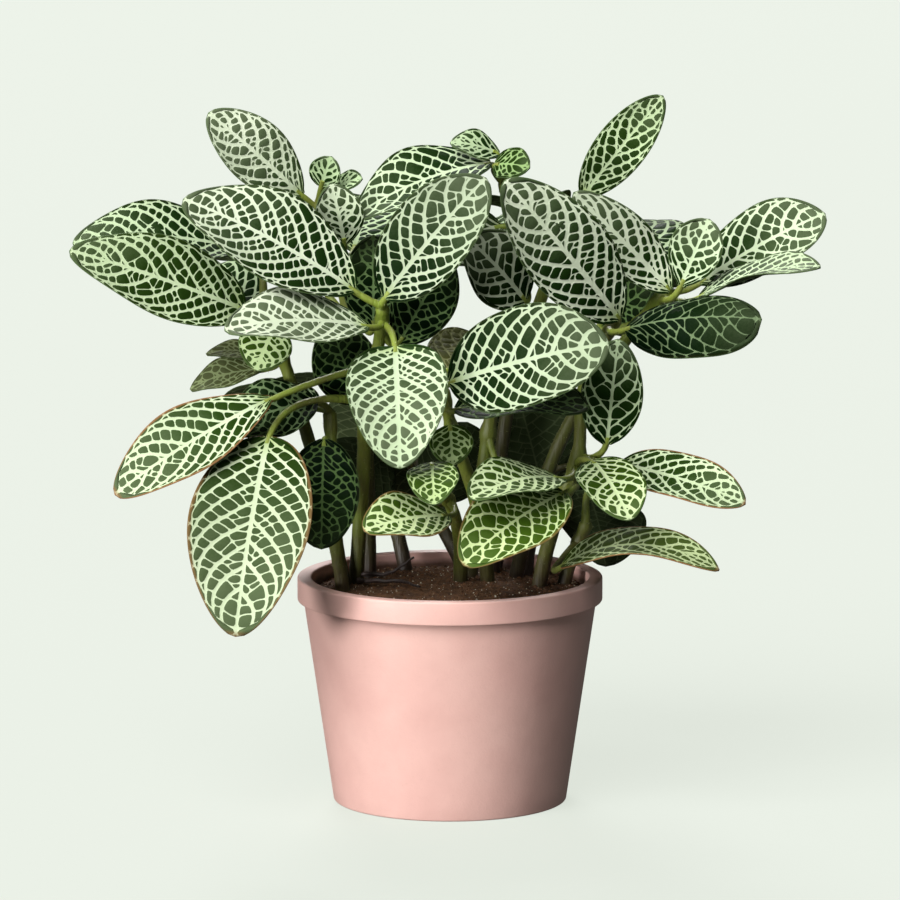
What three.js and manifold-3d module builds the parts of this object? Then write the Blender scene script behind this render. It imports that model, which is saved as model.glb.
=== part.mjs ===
// A nerve plant (Fittonia) in a tapered round pot with a rim band.
// Millimetres, +Z up, origin at the centre of the pot's underside. -Y is the front.
import * as THREE from "three";
import { mergeVertices } from "three/addons/utils/BufferGeometryUtils.js";
import Module from "manifold-3d";

const wasm = await Module();
wasm.setup();

// Pot: a 12 cm pot, every other size follows from its rim.
const rimRadius = 60;
const potHeight = 89;
const rimBand = { height: 9.2, overhang: 2.4, width: 5.5 };
const potBottomRadius = rimRadius * 0.765;
const wall = 3.2;
const floorThickness = 4;
const footRing = { innerRadius: 36, grooveRadius: 16, grooveDepth: 1.5 };
const potFacets = 40;

// Soil: it stops below the rim and stands clear of the pot by the gap.
const gap = 0.3;
const soilTop = potHeight - 4.5;
const soilMound = 2.5;
const soilFacets = 36;
const holeSides = 8;

// Stems and petioles.
const stem = { rootRadius: 3.2, topRadius: 2.1, sides: 6, segments: 7, buried: 16, lean: 0.6 };
const root = { startRadius: 1, endRadius: 0.6, sides: 5, segments: 4 };
const petiole = { startRadius: 1.7, endRadius: 1, sides: 4, segments: 3, intoBlade: 2 };

// Blades: the outline is sin(pi s^skew)^fullness between a narrow foot and a blunt tip. The foot
// swells to hold the petiole's end, and a narrow blade has fewer segments along it.
const blade = {
  leastSegments: 4,
  mostSegments: 6,
  widthPerSegment: 6,
  acrossSegments: 4,
  footHalfWidth: 1.6,
  tipHalfWidth: 0.7,
  midThickness: 1.3,
  edgeThickness: 0.7,
  footSwell: 0.9,
  waveShare: 0.035,
  wavesAlong: 1.5,
};
const usual = { arch: 34, fold: 0.2, skew: 0.94, fullness: 0.58 };

const colours = { pot: 0xdfa297, soil: 0x2d1c12, leaf: 0x2f6b2c };

// Each leafy stem: the points its stem passes through, and its leaves. A leaf has the share of
// the stem where its petiole leaves, where its blade starts and ends, its width, and the azimuth
// and elevation that its upper side faces, with 270 the front. Arch is how far the midrib bends
// from end to end in degrees, fold how far the halves rise, as a share of half the width, and a
// skew over 0.7 moves the widest place nearer to the tip.
// Roots are thin bare ones above the soil.
const leafyStems = {
  leafy_stem_left_front: {
    path: [[-37, 8, 84], [-34, 0, 132], [-33, -12, 160], [-27, -24, 188], [-26, -30, 200]],
    leaves: [
      { from: 0.99, base: [-37, -32, 206], tip: [-103, -27, 241], width: 41, face: [270, 48], arch: 24 },
      { from: 0.99, base: [-25, -37, 204], tip: [14, -32, 250], width: 35, face: [276, 42], arch: 24 },
      { from: 0.86, base: [-32, -40, 193], tip: [-86, -62, 195], width: 34, face: [270, 60], arch: 28 },
      { from: 0.84, base: [-21, -45, 186], tip: [-19, -72, 143], width: 39, face: [270, 35], skew: 0.7 },
      { from: 0.8, base: [-20, -20, 184], tip: [-1, -8, 218], width: 25, face: [300, 30], arch: 22 },
      { from: 0.62, base: [-69, -33, 164], tip: [-129, -48, 129], width: 31, face: [268, 46], arch: 24, skew: 1.1 },
      { from: 0.5, base: [-70, -40, 150], tip: [-82, -72, 78], width: 47, face: [262, 25], skew: 0.85 },
    ],
    roots: [
      [[-37, 8, 88], [-30, 3, 89], [-22, -1, 91], [-14, -2, 97]],
      [[-37, 7, 86], [-31, -6, 88], [-20, -9, 88.5], [-12, -19, 88]],
    ],
  },
  leafy_stem_left_top: {
    path: [[-32, 22, 84], [-34, 20, 150], [-44, 12, 210], [-52, 6, 236]],
    leaves: [
      { from: 0.97, base: [-58, 4, 239], tip: [-94, -2, 272], width: 25, face: [268, 25], arch: 20, skew: 1.05 },
      { from: 0.99, base: [-50, 2, 243], tip: [-46, -2, 255], width: 13, face: [270, 30] },
      { from: 0.99, base: [-46, 6, 240], tip: [-34, 0, 246], width: 12, face: [280, 50] },
      { from: 0.85, base: [-41, -12, 222], tip: [-46, -16, 246], width: 19, face: [275, 15] },
      { from: 0.8, base: [-38, 26, 214], tip: [-30, 72, 230], width: 38, face: [270, 75] },
      { from: 0.66, base: [-30, -2, 188], tip: [-30, 0, 224], width: 24, face: [272, 16] },
      { from: 0.36, base: [-36, 6, 157], tip: [-47, 4, 189], width: 26, face: [270, 14] },
    ],
  },
  leafy_stem_far_left: {
    path: [[-42, 2, 84], [-52, 0, 130], [-64, -4, 172], [-74, -8, 198]],
    leaves: [
      { from: 0.98, base: [-80, -14, 196], tip: [-147, -26, 221], width: 34, face: [270, 36], arch: 16, skew: 0.8 },
      { from: 0.98, base: [-82, 7, 217], tip: [-147, -4, 221], width: 35, face: [262, 56] },
      { from: 0.9, base: [-68, -22, 190], tip: [-75, -32, 175], width: 21, face: [270, 35] },
      { from: 0.72, base: [-74, 4, 170], tip: [-102, 6, 162], width: 18, face: [250, 58] },
      { from: 0.76, base: [-74, 10, 175], tip: [-96, 14, 175], width: 12, face: [250, 62] },
      { from: 0.9, base: [-76, 14, 190], tip: [-106, 48, 200], width: 34, face: [200, 65] },
    ],
  },
  leafy_stem_top: {
    path: [[8, 14, 84], [16, 12, 150], [27, 4, 214], [21, -1, 246]],
    leaves: [
      { from: 0.99, base: [16, -2, 252], tip: [-37, -10, 232], width: 36, face: [262, 62] },
      { from: 0.99, base: [19, 2, 255], tip: [0, -1, 260], width: 16, face: [262, 55] },
      { from: 0.99, base: [17.5, -7, 252], tip: [31, -16, 252], width: 15, face: [270, 35] },
      { from: 0.95, base: [26, 8, 236], tip: [36, 44, 223], width: 34, face: [90, 62] },
      { from: 0.86, base: [35, 1, 213], tip: [41, -4, 206], width: 9, face: [270, 40] },
      { from: 0.7, base: [29, 0, 198], tip: [6, -8, 224], width: 30, face: [275, 30] },
      { from: 0.8, base: [20, 10, 226], tip: [-8, 6, 216], width: 26, face: [270, 30] },
      { from: 0.3, base: [20, 8, 128], tip: [30, 8, 100], width: 22, face: [80, 10] },
    ],
  },
  leafy_stem_right: {
    path: [[35, 1, 84], [43, -7, 118], [50, -12, 138], [52, -10, 165], [64, -2, 190]],
    leaves: [
      { from: 0.98, base: [66, -6, 192], tip: [21, -30, 249], width: 34, face: [255, 28], arch: 24, skew: 1.0 },
      { from: 0.97, base: [68, -22, 189.5], tip: [120, -40, 196], width: 27, face: [270, 34], arch: 48, fold: -0.6, skew: 1.1, fullness: 0.38 },
      { from: 0.5, base: [61, -22, 145], tip: [65, -28, 187], width: 24, face: [268, 10], arch: 20 },
      { from: 0.5, base: [66, -25, 137], tip: [114, -45, 125], width: 25, face: [270, 52], arch: 20 },
      { from: 0.46, base: [55, -30, 139], tip: [69, -60, 121], width: 26, face: [280, 50] },
      { from: 0.46, base: [42, -35, 133], tip: [8, -70, 131], width: 28, face: [265, 62] },
      { from: 0.34, base: [44, -38, 128], tip: [5, -68, 105], width: 34, face: [255, 38] },
    ],
  },
  leafy_stem_right_top: {
    path: [[26, 18, 84], [44, 20, 140], [70, 12, 182], [85, 4, 202]],
    leaves: [
      { from: 0.99, base: [86, 0, 202], tip: [48, -3, 241], width: 22, face: [256, 34], arch: 16 },
      { from: 0.95, base: [90, -9, 205], tip: [101, -7, 231], width: 21, face: [266, 26], arch: 22, skew: 1.15 },
      { from: 0.98, base: [98, 6, 204], tip: [147, 10, 231], width: 33, face: [262, 46], arch: 22, skew: 1.1 },
      { from: 0.98, base: [97, -9, 200], tip: [143, -30, 215], width: 27, face: [270, 76] },
      { from: 0.9, base: [86, 18, 208], tip: [70, 54, 223], width: 32, face: [290, 65] },
      { from: 0.74, base: [59, 20, 186], tip: [81, 20, 203], width: 26, face: [270, 10] },
    ],
  },
  leafy_stem_upright: {
    path: [[17, 33, 84], [23, 35, 150], [42, 30, 212], [49, 26, 232]],
    leaves: [
      { from: 0.99, base: [52, 25, 236], tip: [84, 34, 275], width: 20, face: [272, 16], arch: 18, skew: 0.95 },
      { from: 0.9, base: [42, 38, 214], tip: [6, 68, 216], width: 36, face: [250, 72] },
      { from: 0.8, base: [52, 42, 212], tip: [66, 88, 214], width: 38, face: [300, 75] },
    ],
  },
  leafy_stem_centre: {
    path: [[15, 3, 84], [10, -8, 120], [1, -23, 150], [-3, -32, 168]],
    leaves: [
      { from: 0.97, base: [0, -45, 172], tip: [61, -56, 189], width: 44, face: [268, 34], arch: 24 },
      { from: 0.9, base: [2, -38, 160], tip: [54, -42, 162], width: 32, face: [268, 68] },
      { from: 0.97, base: [-2, -22, 172], tip: [14, 12, 182], width: 28, face: [270, 65] },
      { from: 0.7, base: [0, -36, 154], tip: [1, -46, 140], width: 17, face: [270, 30] },
    ],
  },
  leafy_stem_low_front: {
    path: [[4, 0, 84], [4, -5, 102], [0, -26, 122], [-7, -46, 136]],
    leaves: [
      { from: 0.99, base: [-7, -54, 142], tip: [-6, -78, 130], width: 20, face: [270, 48] },
      { from: 0.7, base: [-1, -45, 120], tip: [-33, -66, 118], width: 27, face: [270, 56], arch: 26 },
    ],
  },
  leafy_stem_low_right: {
    path: [[45, 8, 84], [50, 5, 100], [54, 2, 110]],
    leaves: [
      { from: 0.55, base: [44, -25, 97], tip: [104, -45, 99], width: 24, face: [270, 68], arch: 72, skew: 0.76 },
      { from: 0.95, base: [55, 12, 120], tip: [62, 26, 88], width: 36, face: [70, 20] },
    ],
  },
  leafy_stem_left_low: {
    path: [[-42, -8, 84], [-45, -12, 110], [-46, -12, 136], [-47, -8, 156]],
    leaves: [
      { from: 0.7, base: [-49, -18, 146], tip: [-50, -26, 104], width: 29, face: [268, 15] },
      { from: 0.98, base: [-52, -14, 160], tip: [-86, -20, 150], width: 28, face: [270, 46] },
      { from: 0.9, base: [-52, 9, 154], tip: [-80, 34, 142], width: 30, face: [190, 50] },
    ],
  },
  leafy_stem_low_back_left: {
    path: [[6, 26, 84], [-5, 33, 106], [-14, 36, 124]],
    leaves: [
      { from: 0.98, base: [-25, 30, 132], tip: [-55, 31, 106], width: 39, face: [100, 20] },
      { from: 0.98, base: [-12, 46, 131], tip: [-7, 62, 99], width: 29, face: [95, 30] },
      { from: 0.8, base: [-2, 30, 113], tip: [7, 26, 146], width: 29, face: [90, 15] },
    ],
  },
  leafy_stem_low_back_right: {
    path: [[30, 28, 84], [34, 36, 106], [38, 38, 122]],
    leaves: [
      { from: 0.98, base: [50, 38, 126], tip: [62, 50, 102], width: 30, face: [60, 20] },
      { from: 0.98, base: [36, 47, 120], tip: [27, 46, 154], width: 42, face: [88, 8] },
    ],
  },
  leafy_stem_back_left: {
    path: [[-18, 42, 84], [-30, 54, 130], [-40, 62, 170], [-44, 64, 186]],
    leaves: [
      { from: 0.98, base: [-50, 68, 192], tip: [-100, 88, 204], width: 42, face: [120, 65] },
      { from: 0.98, base: [-40, 72, 192], tip: [-26, 118, 182], width: 42, face: [90, 60] },
      { from: 0.7, base: [-46, 62, 157], tip: [-94, 74, 141], width: 36, face: [150, 55] },
      { from: 0.6, base: [-30, 70, 150], tip: [-34, 104, 116], width: 38, face: [90, 35] },
    ],
  },
  leafy_stem_back_right: {
    path: [[18, 42, 84], [30, 56, 126], [38, 64, 160], [42, 66, 178]],
    leaves: [
      { from: 0.98, base: [50, 70, 184], tip: [98, 88, 192], width: 42, face: [60, 65] },
      { from: 0.98, base: [40, 78, 176], tip: [24, 118, 158], width: 40, face: [90, 60] },
      { from: 0.72, base: [44, 72, 150], tip: [58, 110, 130], width: 36, face: [60, 55] },
      { from: 0.6, base: [32, 74, 142], tip: [40, 104, 106], width: 36, face: [85, 35] },
    ],
  },
};

// Closed solid from a geometry, with its shared vertices merged.
function solidOf(geometry) {
  const bare = geometry.clone();
  bare.deleteAttribute("normal");
  bare.deleteAttribute("uv");
  const merged = mergeVertices(bare, 1e-3);
  const mesh = new wasm.Mesh({
    numProp: 3,
    vertProperties: new Float32Array(merged.attributes.position.array),
    triVerts: new Uint32Array(merged.index.array),
  });
  return new wasm.Manifold(mesh);
}

function geometryOf(solid) {
  const mesh = solid.getMesh();
  const geometry = new THREE.BufferGeometry();
  geometry.setAttribute("position", new THREE.BufferAttribute(mesh.vertProperties, 3));
  geometry.setIndex(new THREE.BufferAttribute(mesh.triVerts, 1));
  geometry.computeVertexNormals();
  return geometry;
}

// Closed skin over rings of equal length, from the first ring to the last.
function skin(rings) {
  const count = rings[0].length;
  const position = rings.flat().flatMap((p) => [p.x, p.y, p.z]);
  const index = [];
  for (let r = 0; r < rings.length - 1; r++)
    for (let i = 0; i < count; i++) {
      const a = r * count + i;
      const b = r * count + ((i + 1) % count);
      index.push(a, b, b + count, a, b + count, a + count);
    }
  const last = (rings.length - 1) * count;
  for (let i = 1; i < count - 1; i++) {
    index.push(0, i + 1, i);
    index.push(last, last + i, last + i + 1);
  }
  const geometry = new THREE.BufferGeometry();
  geometry.setAttribute("position", new THREE.Float32BufferAttribute(position, 3));
  geometry.setIndex(index);
  return geometry;
}

// Round tube along a curve, its radius running from the first to the second.
function tube(curve, startRadius, endRadius, sides, segments) {
  const frames = curve.computeFrenetFrames(segments, false);
  const rings = [];
  for (let k = 0; k <= segments; k++) {
    const centre = curve.getPointAt(k / segments);
    const radius = THREE.MathUtils.lerp(startRadius, endRadius, k / segments);
    const ring = [];
    for (let i = 0; i < sides; i++) {
      const angle = (2 * Math.PI * i) / sides;
      const spoke = frames.normals[k].clone().multiplyScalar(radius * Math.cos(angle));
      spoke.addScaledVector(frames.binormals[k], radius * Math.sin(angle));
      ring.push(spoke.add(centre));
    }
    rings.push(ring);
  }
  return skin(rings);
}

function directionOf([azimuth, elevation]) {
  const a = THREE.MathUtils.degToRad(azimuth);
  const e = THREE.MathUtils.degToRad(elevation);
  return new THREE.Vector3(Math.cos(a) * Math.cos(e), Math.sin(a) * Math.cos(e), Math.sin(e));
}

// The blade's axes and sizes: along its chord, across it, and the way its upper side faces.
function bladeFrame(leaf) {
  const base = new THREE.Vector3(...leaf.base);
  const along = new THREE.Vector3(...leaf.tip).sub(base);
  const chord = along.length();
  along.normalize();
  const up = directionOf(leaf.face);
  up.addScaledVector(along, -up.dot(along)).normalize();
  const across = new THREE.Vector3().crossVectors(up, along);
  const arch = THREE.MathUtils.degToRad(leaf.arch ?? usual.arch);
  const bendRadius = chord / (2 * Math.sin(arch / 2));
  return { base, along, across, up, arch, bendRadius, fold: leaf.fold ?? usual.fold };
}

function halfWidth(leaf, s) {
  const full = Math.sin(Math.PI * s ** (leaf.skew ?? usual.skew)) ** (leaf.fullness ?? usual.fullness);
  const least = THREE.MathUtils.lerp(blade.footHalfWidth, blade.tipHalfWidth, s);
  return Math.max((leaf.width / 2) * (full || 0), least);
}

// Point at share s of the midrib and t of the half width, lifted off the blade's middle surface.
function bladePoint(leaf, frame, s, t, lift) {
  const half = halfWidth(leaf, s);
  const slope = frame.arch * (0.5 - s);
  const wave = blade.waveShare * leaf.width * t * t;
  const phase = 2 * Math.PI * (blade.wavesAlong * s + (t > 0 ? 0.1 : 0.45));
  const raised = lift + frame.fold * half * Math.abs(t) ** 1.5 + wave * Math.sin(phase);
  const x = frame.bendRadius * (Math.sin(frame.arch / 2) - Math.sin(slope)) - raised * Math.sin(slope);
  const z = frame.bendRadius * (Math.cos(slope) - Math.cos(frame.arch / 2)) + raised * Math.cos(slope);
  return frame.base
    .clone()
    .addScaledVector(frame.along, x)
    .addScaledVector(frame.across, t * half)
    .addScaledVector(frame.up, z);
}

function segmentsAlong(leaf) {
  const count = Math.round(leaf.width / blade.widthPerSegment);
  return THREE.MathUtils.clamp(count, blade.leastSegments, blade.mostSegments);
}

// A thin arched blade: two grids split alike, closed round the edge.
function bladeGeometry(leaf) {
  const frame = bladeFrame(leaf);
  const rows = segmentsAlong(leaf);
  const columns = blade.acrossSegments;
  const rings = [];
  for (let i = 0; i <= rows; i++) {
    const s = (1 - Math.cos((Math.PI * i) / rows)) / 2;
    const swell = 1 + blade.footSwell * (1 - s) ** 8;
    const upper = [];
    const lower = [];
    for (let j = 0; j <= columns; j++) {
      const t = 1 - (2 * j) / columns;
      const thickness = THREE.MathUtils.lerp(blade.midThickness, blade.edgeThickness, Math.abs(t));
      const lift = (swell * thickness) / 2;
      upper.push(bladePoint(leaf, frame, s, t, lift));
      lower.push(bladePoint(leaf, frame, s, t, -lift));
    }
    rings.push([...upper, ...lower.reverse()]);
  }
  return bladeSkin(rings, columns + 1);
}

// Skin over the blade's rings, with the lower face's diagonals laid under the upper face's.
function bladeSkin(rings, across) {
  const count = 2 * across;
  const position = rings.flat().flatMap((p) => [p.x, p.y, p.z]);
  const index = [];
  const quad = (a, b, c, d, turned) =>
    turned ? index.push(a, b, d, b, c, d) : index.push(a, b, c, a, c, d);
  for (let r = 0; r < rings.length - 1; r++)
    for (let i = 0; i < count; i++) {
      const a = r * count + i;
      const b = r * count + ((i + 1) % count);
      quad(a, b, b + count, a + count, i >= across);
    }
  const last = (rings.length - 1) * count;
  for (let i = 0; i < across - 1; i++) {
    const j = count - 1 - i;
    quad(i, j, j - 1, i + 1, false);
    quad(last + i, last + i + 1, last + j - 1, last + j, false);
  }
  const geometry = new THREE.BufferGeometry();
  geometry.setAttribute("position", new THREE.Float32BufferAttribute(position, 3));
  geometry.setIndex(index);
  return geometry;
}

// The stem from its buried end to its top: straight down into the soil, then through its points.
function stemCurve(path) {
  const points = path.map((p) => new THREE.Vector3(...p));
  const foot = points[0].clone();
  foot.z = soilTop - stem.buried;
  return new THREE.CatmullRomCurve3([foot, ...points], false, "centripetal");
}

// The petiole leaves the stem, turns and runs on a little way under the blade's midrib.
function petioleCurve(leaf, curve, path) {
  const frame = bladeFrame(leaf);
  const shareOfPath = leaf.from * (path.length - 1);
  const from = curve.getPoint((shareOfPath + 1) / path.length);
  const start = frame.along.clone().multiplyScalar(Math.cos(frame.arch / 2));
  start.addScaledVector(frame.up, Math.sin(frame.arch / 2));
  const end = frame.base.clone().addScaledVector(start, petiole.intoBlade);
  const bend = frame.base.clone().addScaledVector(start, -0.5 * from.distanceTo(frame.base));
  return new THREE.QuadraticBezierCurve3(from, bend, end);
}

function leafyStemSolid({ path, leaves, roots = [] }) {
  const curve = stemCurve(path);
  const { rootRadius, topRadius, sides, segments } = stem;
  let whole = solidOf(tube(curve, rootRadius, topRadius, sides, segments));
  for (const leaf of leaves) {
    const stalk = petioleCurve(leaf, curve, path);
    const { startRadius, endRadius } = petiole;
    const stalkTube = tube(stalk, startRadius, endRadius, petiole.sides, petiole.segments);
    whole = whole.add(solidOf(stalkTube)).add(solidOf(bladeGeometry(leaf)));
  }
  for (const points of roots) {
    const line = new THREE.CatmullRomCurve3(points.map((p) => new THREE.Vector3(...p)));
    whole = whole.add(solidOf(tube(line, root.startRadius, root.endRadius, root.sides, root.segments)));
  }
  return whole;
}

// Pot turned round Z: groove and foot under the floor, tapered wall, rim band.
function potGeometry() {
  const bodyTopRadius = rimRadius - rimBand.overhang;
  const bandFoot = potHeight - rimBand.height;
  const { innerRadius, grooveRadius, grooveDepth } = footRing;
  const profile = [
    [0, 0],
    [grooveRadius, 0],
    [grooveRadius + 1, grooveDepth],
    [innerRadius - 1, grooveDepth],
    [innerRadius, 0],
    [potBottomRadius - 1, 0],
    [potBottomRadius, 1],
    [bodyTopRadius, bandFoot],
    [rimRadius, bandFoot],
    [rimRadius, potHeight - 0.8],
    [rimRadius - 0.8, potHeight],
    [rimRadius - rimBand.width + 0.8, potHeight],
    [rimRadius - rimBand.width, potHeight - 0.8],
    [bodyTopRadius - wall, bandFoot - 1],
    [potBottomRadius - wall, floorThickness],
    [0, floorThickness],
  ];
  return lathe(profile, potFacets);
}

function lathe(profile, facets) {
  const points = profile.map(([r, z]) => new THREE.Vector2(r, z));
  const geometry = new THREE.LatheGeometry(points, facets);
  geometry.rotateX(Math.PI / 2);
  return geometry;
}

// Inner radius of the pot's wall at a height.
function potInside(z) {
  const bandFoot = potHeight - rimBand.height - 1;
  const low = potBottomRadius - wall;
  const high = rimRadius - rimBand.overhang - wall;
  const share = (z - floorThickness) / (bandFoot - floorThickness);
  return THREE.MathUtils.lerp(low, high, Math.min(share, 1));
}

// Soil: fills the pot, rises a little to the middle, and has a plain hole for each stem.
function soilSolid(curves) {
  const edge = potInside(soilTop) - gap;
  const profile = [
    [0, floorThickness + gap],
    [potInside(floorThickness) - gap, floorThickness + gap],
    [potInside(potHeight - rimBand.height - 1) - gap, potHeight - rimBand.height - 1],
    [edge, soilTop - 1.5],
    [edge * 0.7, soilTop],
    [edge * 0.35, soilTop + soilMound * 0.7],
    [0, soilTop + soilMound],
  ];
  let soil = solidOf(lathe(profile, soilFacets));
  for (const curve of curves) {
    const holeRadius = (stem.rootRadius + gap) / Math.cos(Math.PI / holeSides) + stem.lean;
    const depth = stem.buried + 2 * gap;
    const hole = new THREE.CylinderGeometry(holeRadius, holeRadius, depth + 20, holeSides);
    hole.rotateX(Math.PI / 2);
    const foot = curve.getPointAt(0);
    hole.translate(foot.x, foot.y, soilTop - stem.buried - 2 * gap + (depth + 20) / 2);
    soil = soil.subtract(solidOf(hole));
  }
  return soil;
}

function material(colour, roughness) {
  return new THREE.MeshStandardMaterial({ color: colour, roughness, metalness: 0 });
}

function piece(name, geometry, finish) {
  const mesh = new THREE.Mesh(geometry, finish);
  mesh.name = name;
  return mesh;
}

const plant = new THREE.Group();
plant.name = "potted_nerve_plant";

plant.add(piece("pot", potGeometry(), material(colours.pot, 0.45)));

const curves = Object.values(leafyStems).map(({ path }) => stemCurve(path));
plant.add(piece("soil", geometryOf(soilSolid(curves)), material(colours.soil, 0.95)));

const leafFinish = material(colours.leaf, 0.5);
for (const [name, leafyStem] of Object.entries(leafyStems))
  plant.add(piece(name, geometryOf(leafyStemSolid(leafyStem)), leafFinish));

export default plant;
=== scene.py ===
import math
import random

import bpy
from mathutils import Matrix, Vector, noise


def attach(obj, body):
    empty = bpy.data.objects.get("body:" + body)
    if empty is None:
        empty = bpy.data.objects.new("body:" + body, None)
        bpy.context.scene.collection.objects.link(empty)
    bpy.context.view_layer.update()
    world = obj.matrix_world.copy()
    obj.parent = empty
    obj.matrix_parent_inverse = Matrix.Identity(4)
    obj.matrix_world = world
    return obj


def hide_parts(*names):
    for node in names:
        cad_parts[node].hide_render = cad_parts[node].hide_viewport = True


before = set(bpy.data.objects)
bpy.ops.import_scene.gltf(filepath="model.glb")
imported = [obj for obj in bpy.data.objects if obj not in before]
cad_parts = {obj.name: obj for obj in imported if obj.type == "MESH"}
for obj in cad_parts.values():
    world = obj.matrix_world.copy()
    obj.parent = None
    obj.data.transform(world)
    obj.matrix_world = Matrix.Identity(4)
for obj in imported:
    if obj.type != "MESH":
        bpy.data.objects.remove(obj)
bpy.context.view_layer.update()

mm = 0.001
fullTurn = 6.28
# Without a seed of its own, noise_vector takes its offsets from the clock
noise.seed_set(1)


# Small helpers for the node trees

def node(tree, kind, inputs=None, **settings):
    made = tree.nodes.new(kind)
    for key, value in settings.items():
        setattr(made, key, value)
    for key, value in (inputs or {}).items():
        socket = made.inputs[key]
        if isinstance(value, bpy.types.NodeSocket):
            tree.links.new(value, socket)
        else:
            socket.default_value = value
    return made


def calc(tree, operation, *values):
    return node(tree, "ShaderNodeMath", dict(enumerate(values)), operation=operation).outputs[0]


def times(tree, first, second):
    return calc(tree, "MULTIPLY", first, second)


def plus(tree, first, second):
    return calc(tree, "ADD", first, second)


def scaled(tree, vector, factor):
    return node(tree, "ShaderNodeVectorMath", {0: vector, 3: factor}, operation="SCALE").outputs[0]


def xyz(tree, vector):
    return node(tree, "ShaderNodeSeparateXYZ", {0: vector}).outputs[:3]


def opaque(colour):
    return (*colour, 1) if isinstance(colour, tuple) and len(colour) == 3 else colour


def mixColour(tree, factor, first, second):
    inputs = {0: factor, 6: opaque(first), 7: opaque(second)}
    return node(tree, "ShaderNodeMix", inputs, data_type="RGBA").outputs[2]


# Lays colours over a first one, each by its factor
def layered(tree, colour, layers):
    for factor, over in layers:
        colour = mixColour(tree, factor, colour, over)
    return colour


def remap(tree, value, low, high, start=0.0, end=1.0, smooth=False):
    kind = "SMOOTHSTEP" if smooth else "LINEAR"
    inputs = {0: value, 1: low, 2: high, 3: start, 4: end}
    return node(tree, "ShaderNodeMapRange", inputs, interpolation_type=kind).outputs[0]


def speckle(tree, place, scale, detail=2.0, roughness=0.5):
    inputs = {"Vector": place, "Scale": scale, "Detail": detail, "Roughness": roughness}
    return node(tree, "ShaderNodeTexNoise", inputs).outputs["Fac"]


def stored(tree, name):
    return node(tree, "ShaderNodeAttribute", attribute_name=name).outputs["Fac"]


def objectPlace(tree):
    return node(tree, "ShaderNodeTexCoord").outputs["Object"]


def newFinish(name, roughness, shine=0.5):
    finish = bpy.data.materials.new(name)
    finish.use_nodes = True
    tree = finish.node_tree
    skin = tree.nodes["Principled BSDF"]
    skin.inputs["Roughness"].default_value = roughness
    skin.inputs["Specular IOR Level"].default_value = shine
    return finish, tree, skin


# Links a finish's colour, and its roughness and bump where it has them
def dress(tree, skin, colour, roughness=None, bump=None):
    tree.links.new(colour, skin.inputs["Base Color"])
    if roughness:
        tree.links.new(roughness, skin.inputs["Roughness"])
    if bump:
        inputs = dict(zip(("Strength", "Distance", "Height"), bump))
        tree.links.new(node(tree, "ShaderNodeBump", inputs).outputs[0], skin.inputs["Normal"])


# Geometry Nodes tree with named inputs, each (name, socket kind, value)
def newTree(name, inputs):
    tree = bpy.data.node_groups.new(name, "GeometryNodeTree")
    tree.interface.new_socket("Geometry", in_out="INPUT", socket_type="NodeSocketGeometry")
    for label, kind, value in inputs:
        socket = tree.interface.new_socket(label, in_out="INPUT", socket_type="NodeSocket" + kind)
        if value is not None:
            socket.default_value = value
    tree.interface.new_socket("Geometry", in_out="OUTPUT", socket_type="NodeSocketGeometry")
    return tree, node(tree, "NodeGroupInput").outputs


def field(tree, name):
    inputs = {0: name}
    return node(tree, "GeometryNodeInputNamedAttribute", inputs, data_type="FLOAT").outputs[0]


def position(tree):
    return node(tree, "GeometryNodeInputPosition").outputs[0]


def between(tree, low, high, seed=0):
    if isinstance(low, tuple):
        inputs, kind, out = {0: low, 1: high, 8: seed}, "FLOAT_VECTOR", 0
    else:
        inputs, kind, out = {2: low, 3: high, 8: seed}, "FLOAT", 1
    return node(tree, "FunctionNodeRandomValue", inputs, data_type=kind).outputs[out]


def finished(tree, geometry, finish):
    return node(tree, "GeometryNodeSetMaterial", {0: geometry, 2: finish}).outputs[0]


def strewn(tree, points, shape, turn, size, finish):
    inputs = {"Points": points, "Instance": shape, "Rotation": turn, "Scale": size}
    return finished(tree, node(tree, "GeometryNodeInstanceOnPoints", inputs).outputs[0], finish)


def together(tree, parts):
    made = node(tree, "GeometryNodeJoinGeometry")
    for part in parts:
        tree.links.new(part, made.inputs[0])
    return made.outputs[0]


def endTree(tree, geometry, finish=None):
    real = node(tree, "GeometryNodeRealizeInstances", {0: geometry}).outputs[0]
    node(tree, "NodeGroupOutput", {0: finished(tree, real, finish) if finish else real})
    return tree


def placed(name, data):
    made = bpy.data.objects.new(name, data)
    bpy.context.scene.collection.objects.link(made)
    return made


# Runs a tree on a mesh and gives back the plain mesh that it makes
def grown(mesh, tree, values):
    holder = placed("holder", mesh)
    modifier = holder.modifiers.new(tree.name, "NODES")
    modifier.node_group = tree
    for item in tree.interface.items_tree:
        if item.item_type == "SOCKET" and item.in_out == "INPUT" and item.name in values:
            modifier[item.identifier] = values[item.name]
    view = bpy.context.evaluated_depsgraph_get()
    made = bpy.data.meshes.new_from_object(
        holder.evaluated_get(view), preserve_all_data_layers=True, depsgraph=view
    )
    holder.modifiers.remove(modifier)
    bpy.data.objects.remove(holder)
    return made


# One piece of the object from its meshes, in the place of a solid
def newPiece(name, meshes, solid):
    piece, *others = [placed(name, mesh) for mesh in meshes]
    if others:
        chosen = [piece, *others]
        with bpy.context.temp_override(active_object=piece, selected_editable_objects=chosen):
            bpy.ops.object.join()
    piece.data.name = name
    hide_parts(solid)
    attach(piece, "root")
    return piece


def meshFrom(name, points, faces, values=None, edges=()):
    mesh = bpy.data.meshes.new(name)
    mesh.from_pydata(points, list(edges), faces)
    for label, numbers in (values or {}).items():
        layer = mesh.attributes.new(label, "FLOAT", "POINT")
        layer.data.foreach_set("value", numbers)
    mesh.shade_smooth()
    return mesh


def mixed(first, second, share):
    return first + (second - first) * share


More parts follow.
